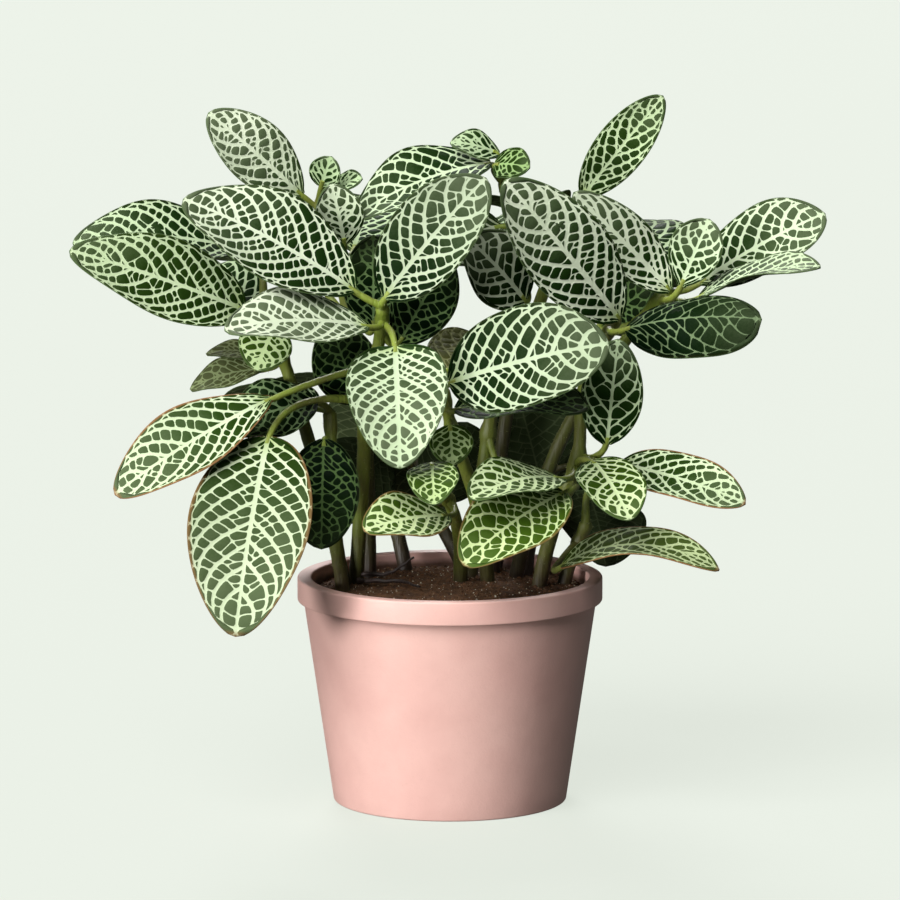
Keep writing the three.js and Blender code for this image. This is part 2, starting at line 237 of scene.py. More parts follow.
# Unit vector from an azimuth and an elevation in degrees, with 270 the front
def pointing(azimuth, elevation):
    azimuth, elevation = math.radians(azimuth), math.radians(elevation)
    return Vector((
        math.cos(azimuth) * math.cos(elevation),
        math.sin(azimuth) * math.cos(elevation),
        math.sin(elevation),
    ))


# Leaf blades in millimetres: the shape that a leaf has where its entry doesn't say
bladeShape = {
    "fullness": 0.58,
    "footHalf": 1.6,
    "arch": 34,
    "fold": 0.2,
    "skew": 0.94,
    "waveShare": 0.035,
    "wavesAlong": 1.5,
    "midThickness": 1.1,
    "edgeThickness": 0.5,
    "footSwell": 0.9,
    "edgeRound": 0.16,
    "backSink": 0.16,
    "veinSink": 0.06,
}

# Half widths of the pale veins, from foot to tip where there are two, and the green cells
# between them. Smaller blades have fewer and finer ones.
veinShape = {
    "midrib": (0.98, 0.52),
    "side": (0.7, 0.5),
    "loop": 0.3,
    "cross": 0.235,
    "rim": 0.26,
    "footThin": 0.66,
    "softEdge": 0.26,
    "fewestSides": 5,
    "mostSides": 9,
    "closing": 0.915,
    "ending": 0.962,
    "cellLength": 2.4,
    "cellPerWidth": 0.034,
    "narrowest": 1.1,
    "narrowPerWidth": 0.016,
    "splitOver": 1.75,
    "spurOver": 1.25,
    "outerRow": 1.05,
    "dip": 1.15,
    "pointEvery": 1.4,
    "puff": 0.16,
    "wander": 0.4,
    "wanderEvery": 6.5,
}

# How a leaf looks where its entry doesn't say: width of its veins, size of its cells, how level
# its cross veins run, how creamy the veins are, how dark the cells (their own tone and painted
# shade), how much painted pale sheen, how young and bright, how far the leaf has browned, and
# how brown its edge is
usualNet = {"veins": 1.0, "grain": 1.0, "slant": 0.3}
usualLook = {"cream": 0.8, "dark": 0.4, "dull": 0.0, "young": 0.0, "age": 0.0, "edge": 0.03}


# A leaf's blade: the share of the stem where its petiole leaves, where the blade starts and ends,
# its width, the azimuth and elevation that its upper side faces, and what is its own
def blade(start, base, tip, width, face, **own):
    return {"start": start, "base": base, "tip": tip, "width": width, "face": face, **own}


leafyStems = {
    "left_front": {
        "path": [(-37, 8, 84), (-34, 0, 132), (-33, -12, 160), (-27, -24, 188), (-26, -30, 200)],
        "leaves": [
            blade(0.99, (-37, -32, 206), (-103, -27, 241), 41, (270, 48),
                arch=24, grain=0.85, cream=1.8, dark=0.35, dull=0.2),
            blade(0.99, (-25, -37, 204), (14, -32, 250), 35, (276, 42),
                arch=24, veins=0.98, cream=1.6, dark=0.75, dull=0.35),
            blade(0.86, (-32, -40, 193), (-86, -62, 195), 34, (270, 60),
                arch=28, veins=1.3, cream=1.9, dark=0.0, dull=1.0),
            blade(0.84, (-21, -45, 186), (-19, -72, 143), 39, (270, 35),
                skew=0.7, veins=1.15, grain=0.75, cream=1.1, dark=0.1, dull=0.8),
            blade(0.8, (-20, -20, 184), (-1, -8, 218), 25, (300, 30),
                arch=22, veins=0.55, cream=0.15, dark=0.95),
            blade(0.62, (-69, -33, 164), (-129, -48, 129), 31, (268, 46),
                arch=24, skew=1.1, veins=0.95, cream=1.3, dark=0.0, dull=0.32, young=0.1, edge=1),
            blade(0.5, (-70, -40, 150), (-82, -72, 78), 47, (262, 25),
                skew=0.85, veins=1.08, cream=1.6, dark=0.5, dull=0.62, young=0.12, edge=0.7),
        ],
        "roots": [
            [(-37, 8, 88), (-30, 3, 89), (-22, -1, 91), (-14, -2, 97)],
            [(-37, 7, 86), (-31, -6, 88), (-20, -9, 88.5), (-12, -19, 88)],
        ],
    },
    "left_top": {
        "path": [(-32, 22, 84), (-34, 20, 150), (-44, 12, 210), (-52, 6, 236)],
        "leaves": [
            blade(0.97, (-58, 4, 239), (-94, -2, 272), 25, (268, 25),
                arch=20, skew=1.05, grain=0.9, cream=1.9, dark=0.2, dull=0.75),
            blade(0.99, (-50, 2, 243), (-46, -2, 255), 13, (270, 30), cream=0.6, dark=0.2),
            blade(0.99, (-46, 6, 240), (-34, 0, 246), 12, (280, 50), cream=0.6, dark=0.2),
            blade(0.85, (-41, -12, 222), (-46, -16, 246), 19, (275, 15), cream=1.6, dull=0.3),
            blade(0.8, (-38, 26, 214), (-30, 72, 230), 38, (270, 75)),
            blade(0.66, (-30, -2, 188), (-30, 0, 224), 24, (272, 16),
                veins=0.55, cream=0.15, dark=0.9),
            blade(0.36, (-36, 6, 157), (-47, 4, 189), 26, (270, 14), veins=0.5, cream=0.1, dark=1),
        ],
    },
    "far_left": {
        "path": [(-42, 2, 84), (-52, 0, 130), (-64, -4, 172), (-74, -8, 198)],
        "leaves": [
            blade(0.98, (-80, -14, 196), (-147, -26, 221), 34, (270, 36),
                arch=16, skew=0.8, veins=0.95, grain=0.9, cream=0.95, young=0.1),
            blade(0.98, (-82, 7, 217), (-147, -4, 221), 35, (262, 56),
                veins=0.95, grain=0.9, cream=0.9, dull=0.1),
            blade(0.9, (-68, -22, 190), (-75, -32, 175), 21, (270, 35),
                cream=0.5, dark=0.35, young=0.3),
            blade(0.72, (-74, 4, 170), (-102, 6, 162), 18, (250, 58),
                veins=0.6, cream=0.4, dull=0.8, age=0.5),
            blade(0.76, (-74, 10, 175), (-96, 14, 175), 12, (250, 62),
                veins=0.6, cream=0.4, dull=0.8, age=0.6),
            blade(0.9, (-76, 14, 190), (-106, 48, 200), 34, (200, 65)),
        ],
    },
    "top": {
        "path": [(8, 14, 84), (16, 12, 150), (27, 4, 214), (21, -1, 246)],
        "leaves": [
            blade(0.99, (16, -2, 252), (-37, -10, 232), 36, (262, 62),
                veins=0.92, cream=1.1, dark=0.45, dull=0.1),
            blade(0.99, (19, 2, 255), (0, -1, 260), 16, (262, 55), cream=0.75, dark=0.2),
            blade(0.99, (17.5, -7, 252), (31, -16, 252), 15, (270, 35),
                veins=0.5, cream=0.1, dark=0.6, young=0.12),
            blade(0.95, (26, 8, 236), (36, 44, 223), 34, (90, 62)),
            blade(0.86, (35, 1, 213), (41, -4, 206), 9, (270, 40), veins=0.5, cream=0.1, age=1),
            blade(0.7, (29, 0, 198), (6, -8, 224), 30, (275, 30),
                veins=1.05, grain=1.4, cream=2.0, dark=0.45, dull=0.25),
            blade(0.8, (20, 10, 226), (-8, 6, 216), 26, (270, 30),
                veins=1.1, grain=1.4, cream=1.8, dark=0, dull=0.8),
            blade(0.3, (20, 8, 128), (30, 8, 100), 22, (80, 10), veins=0.6, cream=0.1, dark=1),
        ],
    },
    "right": {
        "path": [(35, 1, 84), (43, -7, 118), (50, -12, 138), (52, -10, 165), (64, -2, 190)],
        "leaves": [
            blade(0.98, (66, -6, 192), (21, -30, 249), 34, (255, 28),
                arch=24, skew=1.0, veins=1.14, cream=2.0, dull=0.15),
            blade(0.97, (68, -22, 189.5), (120, -40, 196), 27, (270, 34),
                arch=48, fold=-0.6, skew=1.1, fullness=0.38,
                veins=0.42, grain=1.6, cream=0.55, dark=1),
            blade(0.5, (61, -22, 145), (65, -28, 187), 24, (268, 10),
                arch=20, veins=0.8, grain=1.4, cream=0.9, dark=0.3),
            blade(0.5, (66, -25, 137), (114, -45, 125), 25, (270, 52),
                arch=20, veins=0.95, cream=1.1, dark=0.15, dull=0.15, young=0.1, edge=1),
            blade(0.46, (55, -30, 139), (69, -60, 121), 26, (280, 50),
                veins=1.1, cream=0.95, dark=0.2, young=0.35),
            blade(0.46, (42, -35, 133), (8, -70, 131), 28, (265, 62),
                veins=1.15, cream=1.0, dark=0.3, young=0.3),
            blade(0.34, (44, -38, 128), (5, -68, 105), 34, (255, 38),
                veins=0.66, cream=0.5, dark=0.15, young=0.55, edge=0.6),
        ],
    },
    "right_top": {
        "path": [(26, 18, 84), (44, 20, 140), (70, 12, 182), (85, 4, 202)],
        "leaves": [
            blade(0.99, (86, 0, 202), (48, -3, 241), 22, (256, 34),
                arch=16, veins=1.2, cream=2.0, dark=0.2, dull=0.3),
            blade(0.95, (90, -9, 205), (101, -7, 231), 21, (266, 26),
                arch=22, skew=1.15, veins=0.9, cream=1.1, dark=0.12, dull=0.3),
            blade(0.98, (98, 6, 204), (147, 10, 231), 33, (262, 46),
                arch=22, skew=1.1, veins=0.95, cream=1.2, dark=0.15, dull=0.4),
            blade(0.98, (97, -9, 200), (143, -30, 215), 27, (270, 76), cream=1.0, dull=0.6),
            blade(0.9, (86, 18, 208), (70, 54, 223), 32, (290, 65)),
            blade(0.74, (59, 20, 186), (81, 20, 203), 26, (270, 10),
                veins=0.5, cream=0.1, dark=0.8),
        ],
    },
    "upright": {
        "path": [(17, 33, 84), (23, 35, 150), (42, 30, 212), (49, 26, 232)],
        "leaves": [
            blade(0.99, (52, 25, 236), (84, 34, 275), 20, (272, 16),
                arch=18, skew=0.95, veins=0.76, dark=0.42, young=0.1),
            blade(0.9, (42, 38, 214), (6, 68, 216), 36, (250, 72)),
            blade(0.8, (52, 42, 212), (66, 88, 214), 38, (300, 75)),
        ],
    },
    "centre": {
        "path": [(15, 3, 84), (10, -8, 120), (1, -23, 150), (-3, -32, 168)],
        "leaves": [
            blade(0.97, (0, -45, 172), (61, -56, 189), 44, (268, 34),
                arch=24, veins=1.15, cream=1.3, dark=0.68, dull=0.3),
            blade(0.9, (2, -38, 160), (54, -42, 162), 32, (268, 68),
                veins=0.7, cream=0.25, dark=0.5),
            blade(0.97, (-2, -22, 172), (14, 12, 182), 28, (270, 65),
                veins=0.6, cream=0.2, age=0.85),
            blade(0.7, (0, -36, 154), (1, -46, 140), 17, (270, 30),
                veins=0.7, cream=0.3, dark=0.5, young=0.35),
        ],
    },
    "low_front": {
        "path": [(4, 0, 84), (4, -5, 102), (0, -26, 122), (-7, -46, 136)],
        "leaves": [
            blade(0.99, (-7, -54, 142), (-6, -78, 130), 20, (270, 48),
                veins=0.7, cream=0.25, dark=0.35, young=0.4),
            blade(0.7, (-1, -45, 120), (-33, -66, 118), 27, (270, 56),
                arch=26, veins=1.15, cream=0.95, dark=0.25, young=0.5, edge=0.7),
        ],
    },
    "low_right": {
        "path": [(45, 8, 84), (50, 5, 100), (54, 2, 110)],
        "leaves": [
            blade(0.55, (44, -25, 97), (104, -45, 99), 24, (270, 68),
                arch=72, skew=0.76, veins=0.9, dark=0.3, young=0.35, age=0.2, edge=1),
            blade(0.95, (55, 12, 120), (62, 26, 88), 36, (70, 20), veins=0.6, cream=0.1, dark=1),
        ],
    },
    "left_low": {
        "path": [(-42, -8, 84), (-45, -12, 110), (-46, -12, 136), (-47, -8, 156)],
        "leaves": [
            blade(0.7, (-49, -18, 146), (-50, -26, 104), 29, (268, 15),
                veins=0.45, cream=0.08, dark=1),
            blade(0.98, (-52, -14, 160), (-86, -20, 150), 28, (270, 46),
                veins=0.65, cream=0.35, dark=0.85),
            blade(0.9, (-52, 9, 154), (-80, 34, 142), 30, (190, 50), dark=0.7),
        ],
    },
    "low_back_left": {
        "path": [(6, 26, 84), (-5, 33, 106), (-14, 36, 124)],
        "leaves": [
            blade(0.98, (-25, 30, 132), (-55, 31, 106), 39, (100, 20),
                veins=0.6, cream=0.1, dark=1),
            blade(0.98, (-12, 46, 131), (-7, 62, 99), 29, (95, 30), dark=0.7),
            blade(0.8, (-2, 30, 113), (7, 26, 146), 29, (90, 15), veins=0.6, cream=0.1, dark=1),
        ],
    },
    "low_back_right": {
        "path": [(30, 28, 84), (34, 36, 106), (38, 38, 122)],
        "leaves": [
            blade(0.98, (50, 38, 126), (62, 50, 102), 30, (60, 20), dark=0.8),
            blade(0.98, (36, 47, 120), (27, 46, 154), 42, (88, 8), veins=0.7, cream=0.2, dark=0.9),
        ],
    },
    "back_left": {
        "path": [(-18, 42, 84), (-30, 54, 130), (-40, 62, 170), (-44, 64, 186)],
        "leaves": [
            blade(0.98, (-50, 68, 192), (-100, 88, 204), 42, (120, 65)),
            blade(0.98, (-40, 72, 192), (-26, 118, 182), 42, (90, 60)),
            blade(0.7, (-46, 62, 157), (-94, 74, 141), 36, (150, 55)),
            blade(0.6, (-30, 70, 150), (-34, 104, 116), 38, (90, 35)),
        ],
    },
    "back_right": {
        "path": [(18, 42, 84), (30, 56, 126), (38, 64, 160), (42, 66, 178)],
        "leaves": [
            blade(0.98, (50, 70, 184), (98, 88, 192), 42, (60, 65)),
            blade(0.98, (40, 78, 176), (24, 118, 158), 40, (90, 60)),
            blade(0.72, (44, 72, 150), (58, 110, 130), 36, (60, 55)),
            blade(0.6, (32, 74, 142), (40, 104, 106), 36, (85, 35)),
        ],
    },
}


# Fills a leaf's entry with what it leaves out, its axes and its length along the bend
def fullLeaf(entry):
    leaf = {**bladeShape, **usualNet, **usualLook, **entry}
    base, tip = Vector(leaf["base"]), Vector(leaf["tip"])
    along = tip - base
    leaf["chord"] = along.length
    along.normalize()
    up = pointing(*leaf["face"])
    up = (up - along * up.dot(along)).normalized()
    leaf["axes"] = along, up.cross(along), up
    leaf["bend"] = math.radians(leaf["arch"])
    leaf["length"] = leaf["chord"] * leaf["bend"] / 2 / math.sin(leaf["bend"] / 2)
    return leaf


def halfWidth(leaf, s):
    full = max(math.sin(math.pi * max(s, 0) ** leaf["skew"]), 0) ** leaf["fullness"]
    return max(leaf["width"] / 2 * full, leaf["footHalf"] * (1 - s), 0.02)


# The net of one blade in shares of its length and half width: a midrib, side veins that run
# forward and meet in arcs inside the edge, and cross veins between them. Gives the flat places in
# millimetres and the links between them with the vein's half width.
def veinNet(leaf, chance):
    p, length, broad = veinShape, leaf["length"], leaf["width"]
    small = min(1, 0.4 + broad / 60)
    scale = leaf["veins"] * min(1, 0.62 + broad / 90)
    cellLength = (p["cellLength"] + p["cellPerWidth"] * broad) * leaf["grain"]
    narrow = p["narrowest"] + p["narrowPerWidth"] * broad
    outerRow, dip = p["outerRow"] * small, p["dip"] * small
    closing, ending = p["closing"], p["ending"]
    count = round((3.3 + length / 20 + broad / 38) / leaf["grain"] ** 0.3)
    count = max(p["fewestSides"], min(p["mostSides"], count))
    spots, links, faint = [], {}, set()

    def spot(place):
        spots.append(place)
        return len(spots) - 1

    def flat(place):
        return Vector((place[0] * length, place[1] * halfWidth(leaf, place[0])))

    # Marks a share on a vein, or takes the mark that is already close by
    def marked(vein, share, near=0.8):
        for known in vein["marks"]:
            if (flat(vein["at"](known)) - flat(vein["at"](share))).length < near:
                return vein["marks"][known]
        vein["marks"][share] = spot(vein["at"](share))
        return vein["marks"][share]

    def linked(first, second, width):
        if first != second:
            links[first, second] = links[second, first] = width

    def lay(vein, width, even=False):
        shares = sorted(vein["marks"])
        for start, end in zip(shares, shares[1:]):
            gap = (flat(vein["at"](end)) - flat(vein["at"](start))).length
            pieces = max(1, round(gap / p["pointEvery"]))
            last = vein["marks"][start]
            for i in range(1, pieces + 1):
                share = mixed(start, end, i / pieces)
                reached = vein["marks"][end] if i == pieces else spot(vein["at"](share))
                thin = mixed(p["footThin"], 1.15, min(1, 1.3 * spots[reached][0]))
                linked(last, reached, width(share) * (1 if even else thin))
                last = reached

    def crossVein(first, second, width):
        a, b = Vector(spots[first]), Vector(spots[second])
        bow = Vector((-(b - a).y * 0.025, 0)) * chance.uniform(-1, 1)
        return {
            "marks": {0: first, 1: second},
            "at": lambda u: tuple(a.lerp(b, u) + bow * math.sin(math.pi * u)),
            "width": width,
            "long": (flat(a) - flat(b)).length,
        }

    def cross(first, second, width):
        lay(crossVein(first, second, width), lambda share: width)

    # Lays the cross veins of one strip, and a thin vein through the middles of those that are long
    def layStrip(strip, width, first=None):
        middles = {}
        for i, vein in enumerate(strip):
            if i == first or vein["long"] > p["splitOver"] * cellLength:
                share = 0.5 + chance.uniform(-0.1, 0.1)
                vein["marks"][share] = middles[i] = spot(vein["at"](share))
        for vein in strip:
            lay(vein, lambda share, vein=vein: vein["width"])
        for i in middles:
            if i + 1 in middles:
                cross(middles[i], middles[i + 1], width)
        return middles.get(first)

    midrib = {"at": lambda s: (s, 0), "marks": {}}
    for share in (0, ending, 1):
        midrib["marks"][share] = spot((share, 0))
    crossWidth = p["cross"] * scale
    thinWidth = crossWidth * 0.85

    for side in (1, -1):
        starts = [0.79 * (k / (count - 1)) ** 1.27 for k in range(count)]
        ends = [0.94 * (1 - (1 - (k + 1.1) / (count + 0.3)) ** 1.35) for k in range(count)]
        for k in range(1, count):
            starts[k] += (starts[k] - starts[k - 1]) * chance.uniform(-0.25, 0.25)
        for k in range(count - 1):
            ends[k] += (ends[k + 1] - ends[k]) * chance.uniform(-0.16, 0.16)

        def edgeShare(s, ends=ends, side=side):
            before = max([e for e in ends if e <= s], default=0)
            after = min([e for e in ends if e > s], default=ending)
            arc = math.sin(math.pi * (s - before) / max(after - before, 0.01))
            share = 1 - min(0.5, (outerRow + dip * (1 - arc)) / halfWidth(leaf, s))
            if s > closing:
                share *= math.sqrt(max(0, 1 - ((s - closing) / (ending - closing)) ** 2))
            return side * share

        loop = {"at": lambda s, f=edgeShare: (s, f(s)), "marks": {}}
        loop["marks"][0] = spot((0, edgeShare(0)))
        loop["marks"][ending] = midrib["marks"][ending]
        edge = {"at": lambda s, side=side: (s, side), "marks": {}}
        edge["marks"][0] = spot((0, side))
        edge["marks"][1] = midrib["marks"][1]

        veins = []
        for start, end in zip(starts, ends):
            foot = marked(midrib, start, 0.7)
            start = spots[foot][0]
            reach = edgeShare(end)

            def at(u, start=start, end=end, reach=reach):
                return mixed(start, end, 0.8 * u + 0.2 * u * u), reach * (1 - (1 - u) ** 1.35)

            marks = {0: foot, 1: marked(loop, end, 0.3)}
            veins.append({"at": at, "marks": marks})

        def nearest(vein, place, low=0.0, high=1.0):
            point = flat(place)
            shares = [mixed(low, high, i / 48) for i in range(49)]
            return min(shares, key=lambda share: (flat(vein["at"](share)) - point).length)

        def level(vein, place):
            shares = [i / 48 for i in range(49)]
            return min(shares, key=lambda share: abs(vein["at"](share)[0] - place[0]))

        # Between the lowest side vein and the arc
        base = veins[0]
        cells = max(1, round(ends[0] * length * 1.2 / cellLength))
        for j in range(1, cells):
            share = 0.3 + 0.7 * j / cells
            met = nearest(loop, base["at"](share), 0, ends[0])
            if (flat(base["at"](share)) - flat(loop["at"](met))).length < narrow:
                continue
            cross(marked(base, share), marked(loop, met), crossWidth)
        # Cross veins between neighbouring side veins, each row set off from the last like bricks
        for k, (vein, following) in enumerate(zip(veins, veins[1:])):
            line = [flat(vein["at"](i / 12)) for i in range(13)]
            run = sum((b - a).length for a, b in zip(line, line[1:]))
            known, shares = sorted(vein["marks"]), []
            for low, high in zip(known, known[1:]):
                pieces = max(1, round((high - low) * run / cellLength - 0.1))
                for i in range(pieces):
                    middle = i + 0.5 + chance.uniform(-0.15, 0.15)
                    shares.append(mixed(low, high, middle / pieces))
            start, stop = (spots[other["marks"][0]][0] for other in (vein, following))
            other, last, strip = midrib, (flat((start, 0)), flat((start, 0))), []
            inner, outer, first, reached = (0, start), None, None, 0
            for share in shares:
                place = vein["at"](share)
                met = mixed(nearest(following, place), level(following, place), leaf["slant"])
                if met < 0.06 and other is midrib:
                    met = mixed(nearest(midrib, place, start, stop), min(place[0], stop), 0.4)
                else:
                    other = following
                new = flat(place), flat(other["at"](met))
                tooShort = (new[0] - new[1]).length < narrow * (0.8 if other is midrib else 1)
                atEnd = (new[1] - flat((stop, 0))).length < 0.45 * cellLength
                atEnd = atEnd or (other is following and met > 0.95)
                tooNear = min((a - b).length for a, b in zip(new, last)) < 0.6 * cellLength
                if tooShort or atEnd or tooNear or new[1].x < last[1].x:
                    continue
                last = new
                if other is midrib:
                    inner = share, met
                elif first is None:
                    outer, first = share, len(strip)
                reached = 0 if other is midrib else met
                width = crossWidth * chance.uniform(0.75, 1.2)
                strip.append(crossVein(marked(vein, share), marked(other, met), width))
            # Between the following vein and the arc, past the strip's last cross vein
            tail = (flat(following["at"](0.98)) - flat(following["at"](reached))).length
            pieces, before = round(tail / cellLength * 0.9), flat(loop["at"](ends[k]))
            for j in range(1, pieces):
                share = mixed(reached, 0.98, j / pieces)
                met = nearest(loop, following["at"](share), ends[k], ends[k + 1])
                place, foot = flat(loop["at"](met)), flat(following["at"](share))
                if (place - foot).length > 0.75 * narrow and place.x - before.x > 0.5 * cellLength:
                    before = place
                    cross(marked(following, share), marked(loop, met), crossWidth * 0.9)
            # The wide cell at the strip's inner end is split by a vein from the midrib
            if (stop - inner[1]) * length < p["spurOver"] * cellLength:
                first = None
            middle = layStrip(strip, thinWidth, first)
            if first is not None:
                spur = crossVein(marked(midrib, mixed(inner[1], stop, 0.5)), middle, thinWidth)
                if spur["long"] > 1.2 * cellLength and outer - inner[0] > 0.12:
                    fork = spur["marks"][0.55] = spot(spur["at"](0.55))
                    cross(marked(vein, mixed(inner[0], outer, 0.55)), fork, thinWidth)
                lay(spur, lambda share: thinWidth)
        # Round the tip
        tipVein, start = veins[-1], spots[veins[-1]["marks"][0]][0]
        pieces, strip = max(2, round((ending - start) * length / cellLength * 0.9)), []
        for j in range(1, pieces):
            met = mixed(start, ending, j / pieces)
            share = nearest(tipVein, (met - 0.3 * cellLength / length, 0.3 * side), 0.2, 0.9)
            strip.append(crossVein(marked(tipVein, share), marked(midrib, met), crossWidth))
        layStrip(strip, thinWidth)

        # The outer row of small cells
        steps, before = max(3, round(0.58 * length / cellLength)), len(spots)
        for j in range(1, steps):
            share = 0.06 + 0.85 * (j + chance.uniform(-0.25, 0.25)) / steps
            outward = min(share + 0.5 * outerRow / length, 0.97)
            cross(marked(loop, share, 0.7), marked(edge, outward, 0.7), crossWidth * 0.7)
        faint |= set(range(before, len(spots))) - set(loop["marks"].values())

        for vein in veins:
            thin = 0.42 + 0.5 * spots[vein["marks"][0]][0] / 0.3
            lay(vein, lambda u: mixed(*p["side"], u) * scale * min(1, max(thin, 0.42 + 2.2 * u)))
        lay(loop, lambda s: p["loop"] * scale)
        lay(edge, lambda s: p["rim"], True)
        foot = {"at": lambda u, side=side: (0, side * u), "marks": {0: midrib["marks"][0]}}
        foot["marks"][abs(edgeShare(0))] = loop["marks"][0]
        foot["marks"][1] = edge["marks"][0]
        lay(foot, lambda u: p["rim"], True)
    lay(midrib, lambda s: mixed(*p["midrib"], s) * scale, True)

    # Flat places, with a gentle wander that moves neighbours alike
    offset = Vector((chance.uniform(0, 50), chance.uniform(0, 50), 0))
    places = []
    for s, t in spots:
        place = flat((s, t))
        drift = noise.noise_vector(Vector((place.x, place.y, 0)) / p["wanderEvery"] + offset)
        room = p["wander"] * (1 - t**4) * min(1, 12 * s) * min(1, 14 * (1 - s))
        places.append(place + Vector((drift.x, drift.y * min(1, abs(t) * 6))) * room)
    return places, links, faint


# The closed cells of a flat net, each a loop of points that turns left, and the outer loop
def cellsOf(places, links):
    around = {}
    for first, second in links:
        around.setdefault(first, []).append(second)
    for hub, others in around.items():
        others.sort(key=lambda i: math.atan2(*(places[i] - places[hub]).yx))
    cells, seen = [], set()
    for start in links:
        if start in seen:
            continue
        loop, step = [], start
        while step not in seen:
            seen.add(step)
            loop.append(step[0])
            turn = around[step[1]]
            step = step[1], turn[turn.index(step[0]) - 1]
        cells.append(loop)
    cells.sort(key=lambda loop: areaOf([places[i] for i in loop]))
    return cells[1:], cells[0]


def areaOf(points):
    pairs = zip(points, points[1:] + points[:1])
    return sum(a.x * b.y - b.x * a.y for a, b in pairs) / 2


def middleOf(points):
    return sum(points, Vector((0, 0))) / len(points)


# A cell's loop drawn in by the width at each of its sides, with its corners eased
def drawnIn(points, widths):
    middle, count, inner = middleOf(points), len(points), []
    for i, point in enumerate(points):
        before = (point - points[i - 1]).normalized()
        after = (points[(i + 1) % count] - point).normalized()
        first, second = Vector((-before.y, before.x)), Vector((-after.y, after.x))
        wide, coming = widths[i - 1], widths[i]
        turn = first.x * second.y - first.y * second.x
        if abs(turn) < 0.3:
            move = (first + second).normalized() * (wide + coming) / 2
        else:
            move = Vector((
                (wide * second.y - coming * first.y) / turn,
                (first.x * coming - second.x * wide) / turn,
            ))
        room = (middle - point).length
        most = min(1.7 * max(wide, coming), 0.66 * room)
        if move.length > most:
            move *= most / move.length
        inner.append(point + move)
    return [0.5 * inner[i] + 0.25 * (inner[i - 1] + inner[(i + 1) % count]) for i in range(count)]


# The blade before it is bent: sunken veins on top, a rise in each cell, a plain underside and a
# rounded edge
def flatBlade(leaf, chance):
    places, links, faint = veinNet(leaf, chance)
    cells, outline = cellsOf(places, links)
    rim = set(outline)
    count, puff, soft = len(places), veinShape["puff"], veinShape["softEdge"]
    points, faces = [], []
    values = {name: [] for name in ("along", "across", "vein", "under", "rim", "tint")}

    def add(place, height, **given):
        s = min(max(place.x / leaf["length"], 0), 1)
        t = max(-1, min(1, place.y / halfWidth(leaf, s)))
        swell = 1 + leaf["footSwell"] * (1 - s) ** 8
        thick = swell * mixed(leaf["midThickness"], leaf["edgeThickness"], abs(t)) / 2
        points.append((place.x * mm, place.y * mm, height(thick) * mm))
        marks = {"along": s, "across": t, **given}
        for name, numbers in values.items():
            numbers.append(marks.get(name, 0))
        return len(points) - 1

    for i, place in enumerate(places):
        onRim = i in rim
        share = 0.7 if onRim else 1
        pale = 0.3 if onRim else 0.8 if i in faint else 1
        add(place, lambda thick: thick * share - leaf["veinSink"], vein=pale, rim=onRim)
    for i, place in enumerate(places):
        onRim = i in rim
        share, depth, pale = (0.7, 0, 0.2) if onRim else (1, leaf["backSink"], 1)
        add(place, lambda thick: -thick * share - depth, vein=pale, under=1, rim=onRim)
    for loop in cells:
        corners = [places[i] for i in loop]
        area, size = areaOf(corners), len(loop)
        widths = [links[loop[i], loop[(i + 1) % size]] - soft / 2 for i in range(size)]
        around = sum((corners[i] - corners[i - 1]).length for i in range(size))
        inner = drawnIn(corners, widths)
        tint, middle = chance.random(), middleOf(inner)
        if areaOf(inner) < 0.12 * area or 2 * area / around < 1.05 * min(widths):
            hub = add(middleOf(corners), lambda thick: thick, vein=0.9)
            faces += [(loop[i - 1], loop[i], hub) for i in range(size)]
            faces.append([count + i for i in reversed(loop)])
            continue
        # A cell that is wide enough stands a little proud of its veins
        rise = puff * min(1, math.sqrt(area) / 4)
        first, second, lower = [], [], []
        for i, place in enumerate(inner):
            onRim = all(loop[(i + k) % size] in rim for k in (-1, 0, 1))
            pale = 0.35 if onRim else 0.8 if loop[i] in faint else 1
            first.append(add(place, lambda thick: thick, vein=pale, tint=tint))
            gap = (middle - place).length
            nearer = place.lerp(middle, min(0.45, soft / max(gap, 0.01)))
            second.append(add(nearer, lambda thick: thick + 0.5 * rise, tint=tint))
            lower.append(add(place.lerp(middle, 0.12), lambda thick: -thick, under=1, tint=tint))
        hub = add(middle, lambda thick: thick + rise, tint=tint, vein=-0.4)
        for i in range(size):
            j = i - 1
            faces.append((loop[j], loop[i], first[i], first[j]))
            faces.append((first[j], first[i], second[i], second[j]))
            faces.append((second[j], second[i], hub))
            faces.append((count + loop[i], count + loop[j], lower[j], lower[i]))
        faces.append(lower[::-1])
    # The rounded edge
    outer = []
    for i in outline:
        place = places[i]
        s = place.x / leaf["length"]
        if s < 0.985:
            outward = Vector((0 if s > 0.01 else -1, math.copysign(1, place.y)))
        else:
            outward = Vector((1, 0.4 * math.copysign(1, place.y) if place.y else 0))
        place = place + outward.normalized() * leaf["edgeRound"]
        outer.append(add(place, lambda thick: 0, vein=0.1, rim=1, under=0.5))
    for j in range(len(outline)):
        a, b = outline[j - 1], outline[j]
        faces.append((a, b, outer[j], outer[j - 1]))
        faces.append((outer[j - 1], outer[j], count + b, count + a))
    for name in usualLook:
        values[name] = [leaf[name]] * len(points)
    return meshFrom("blade", points, faces, values)


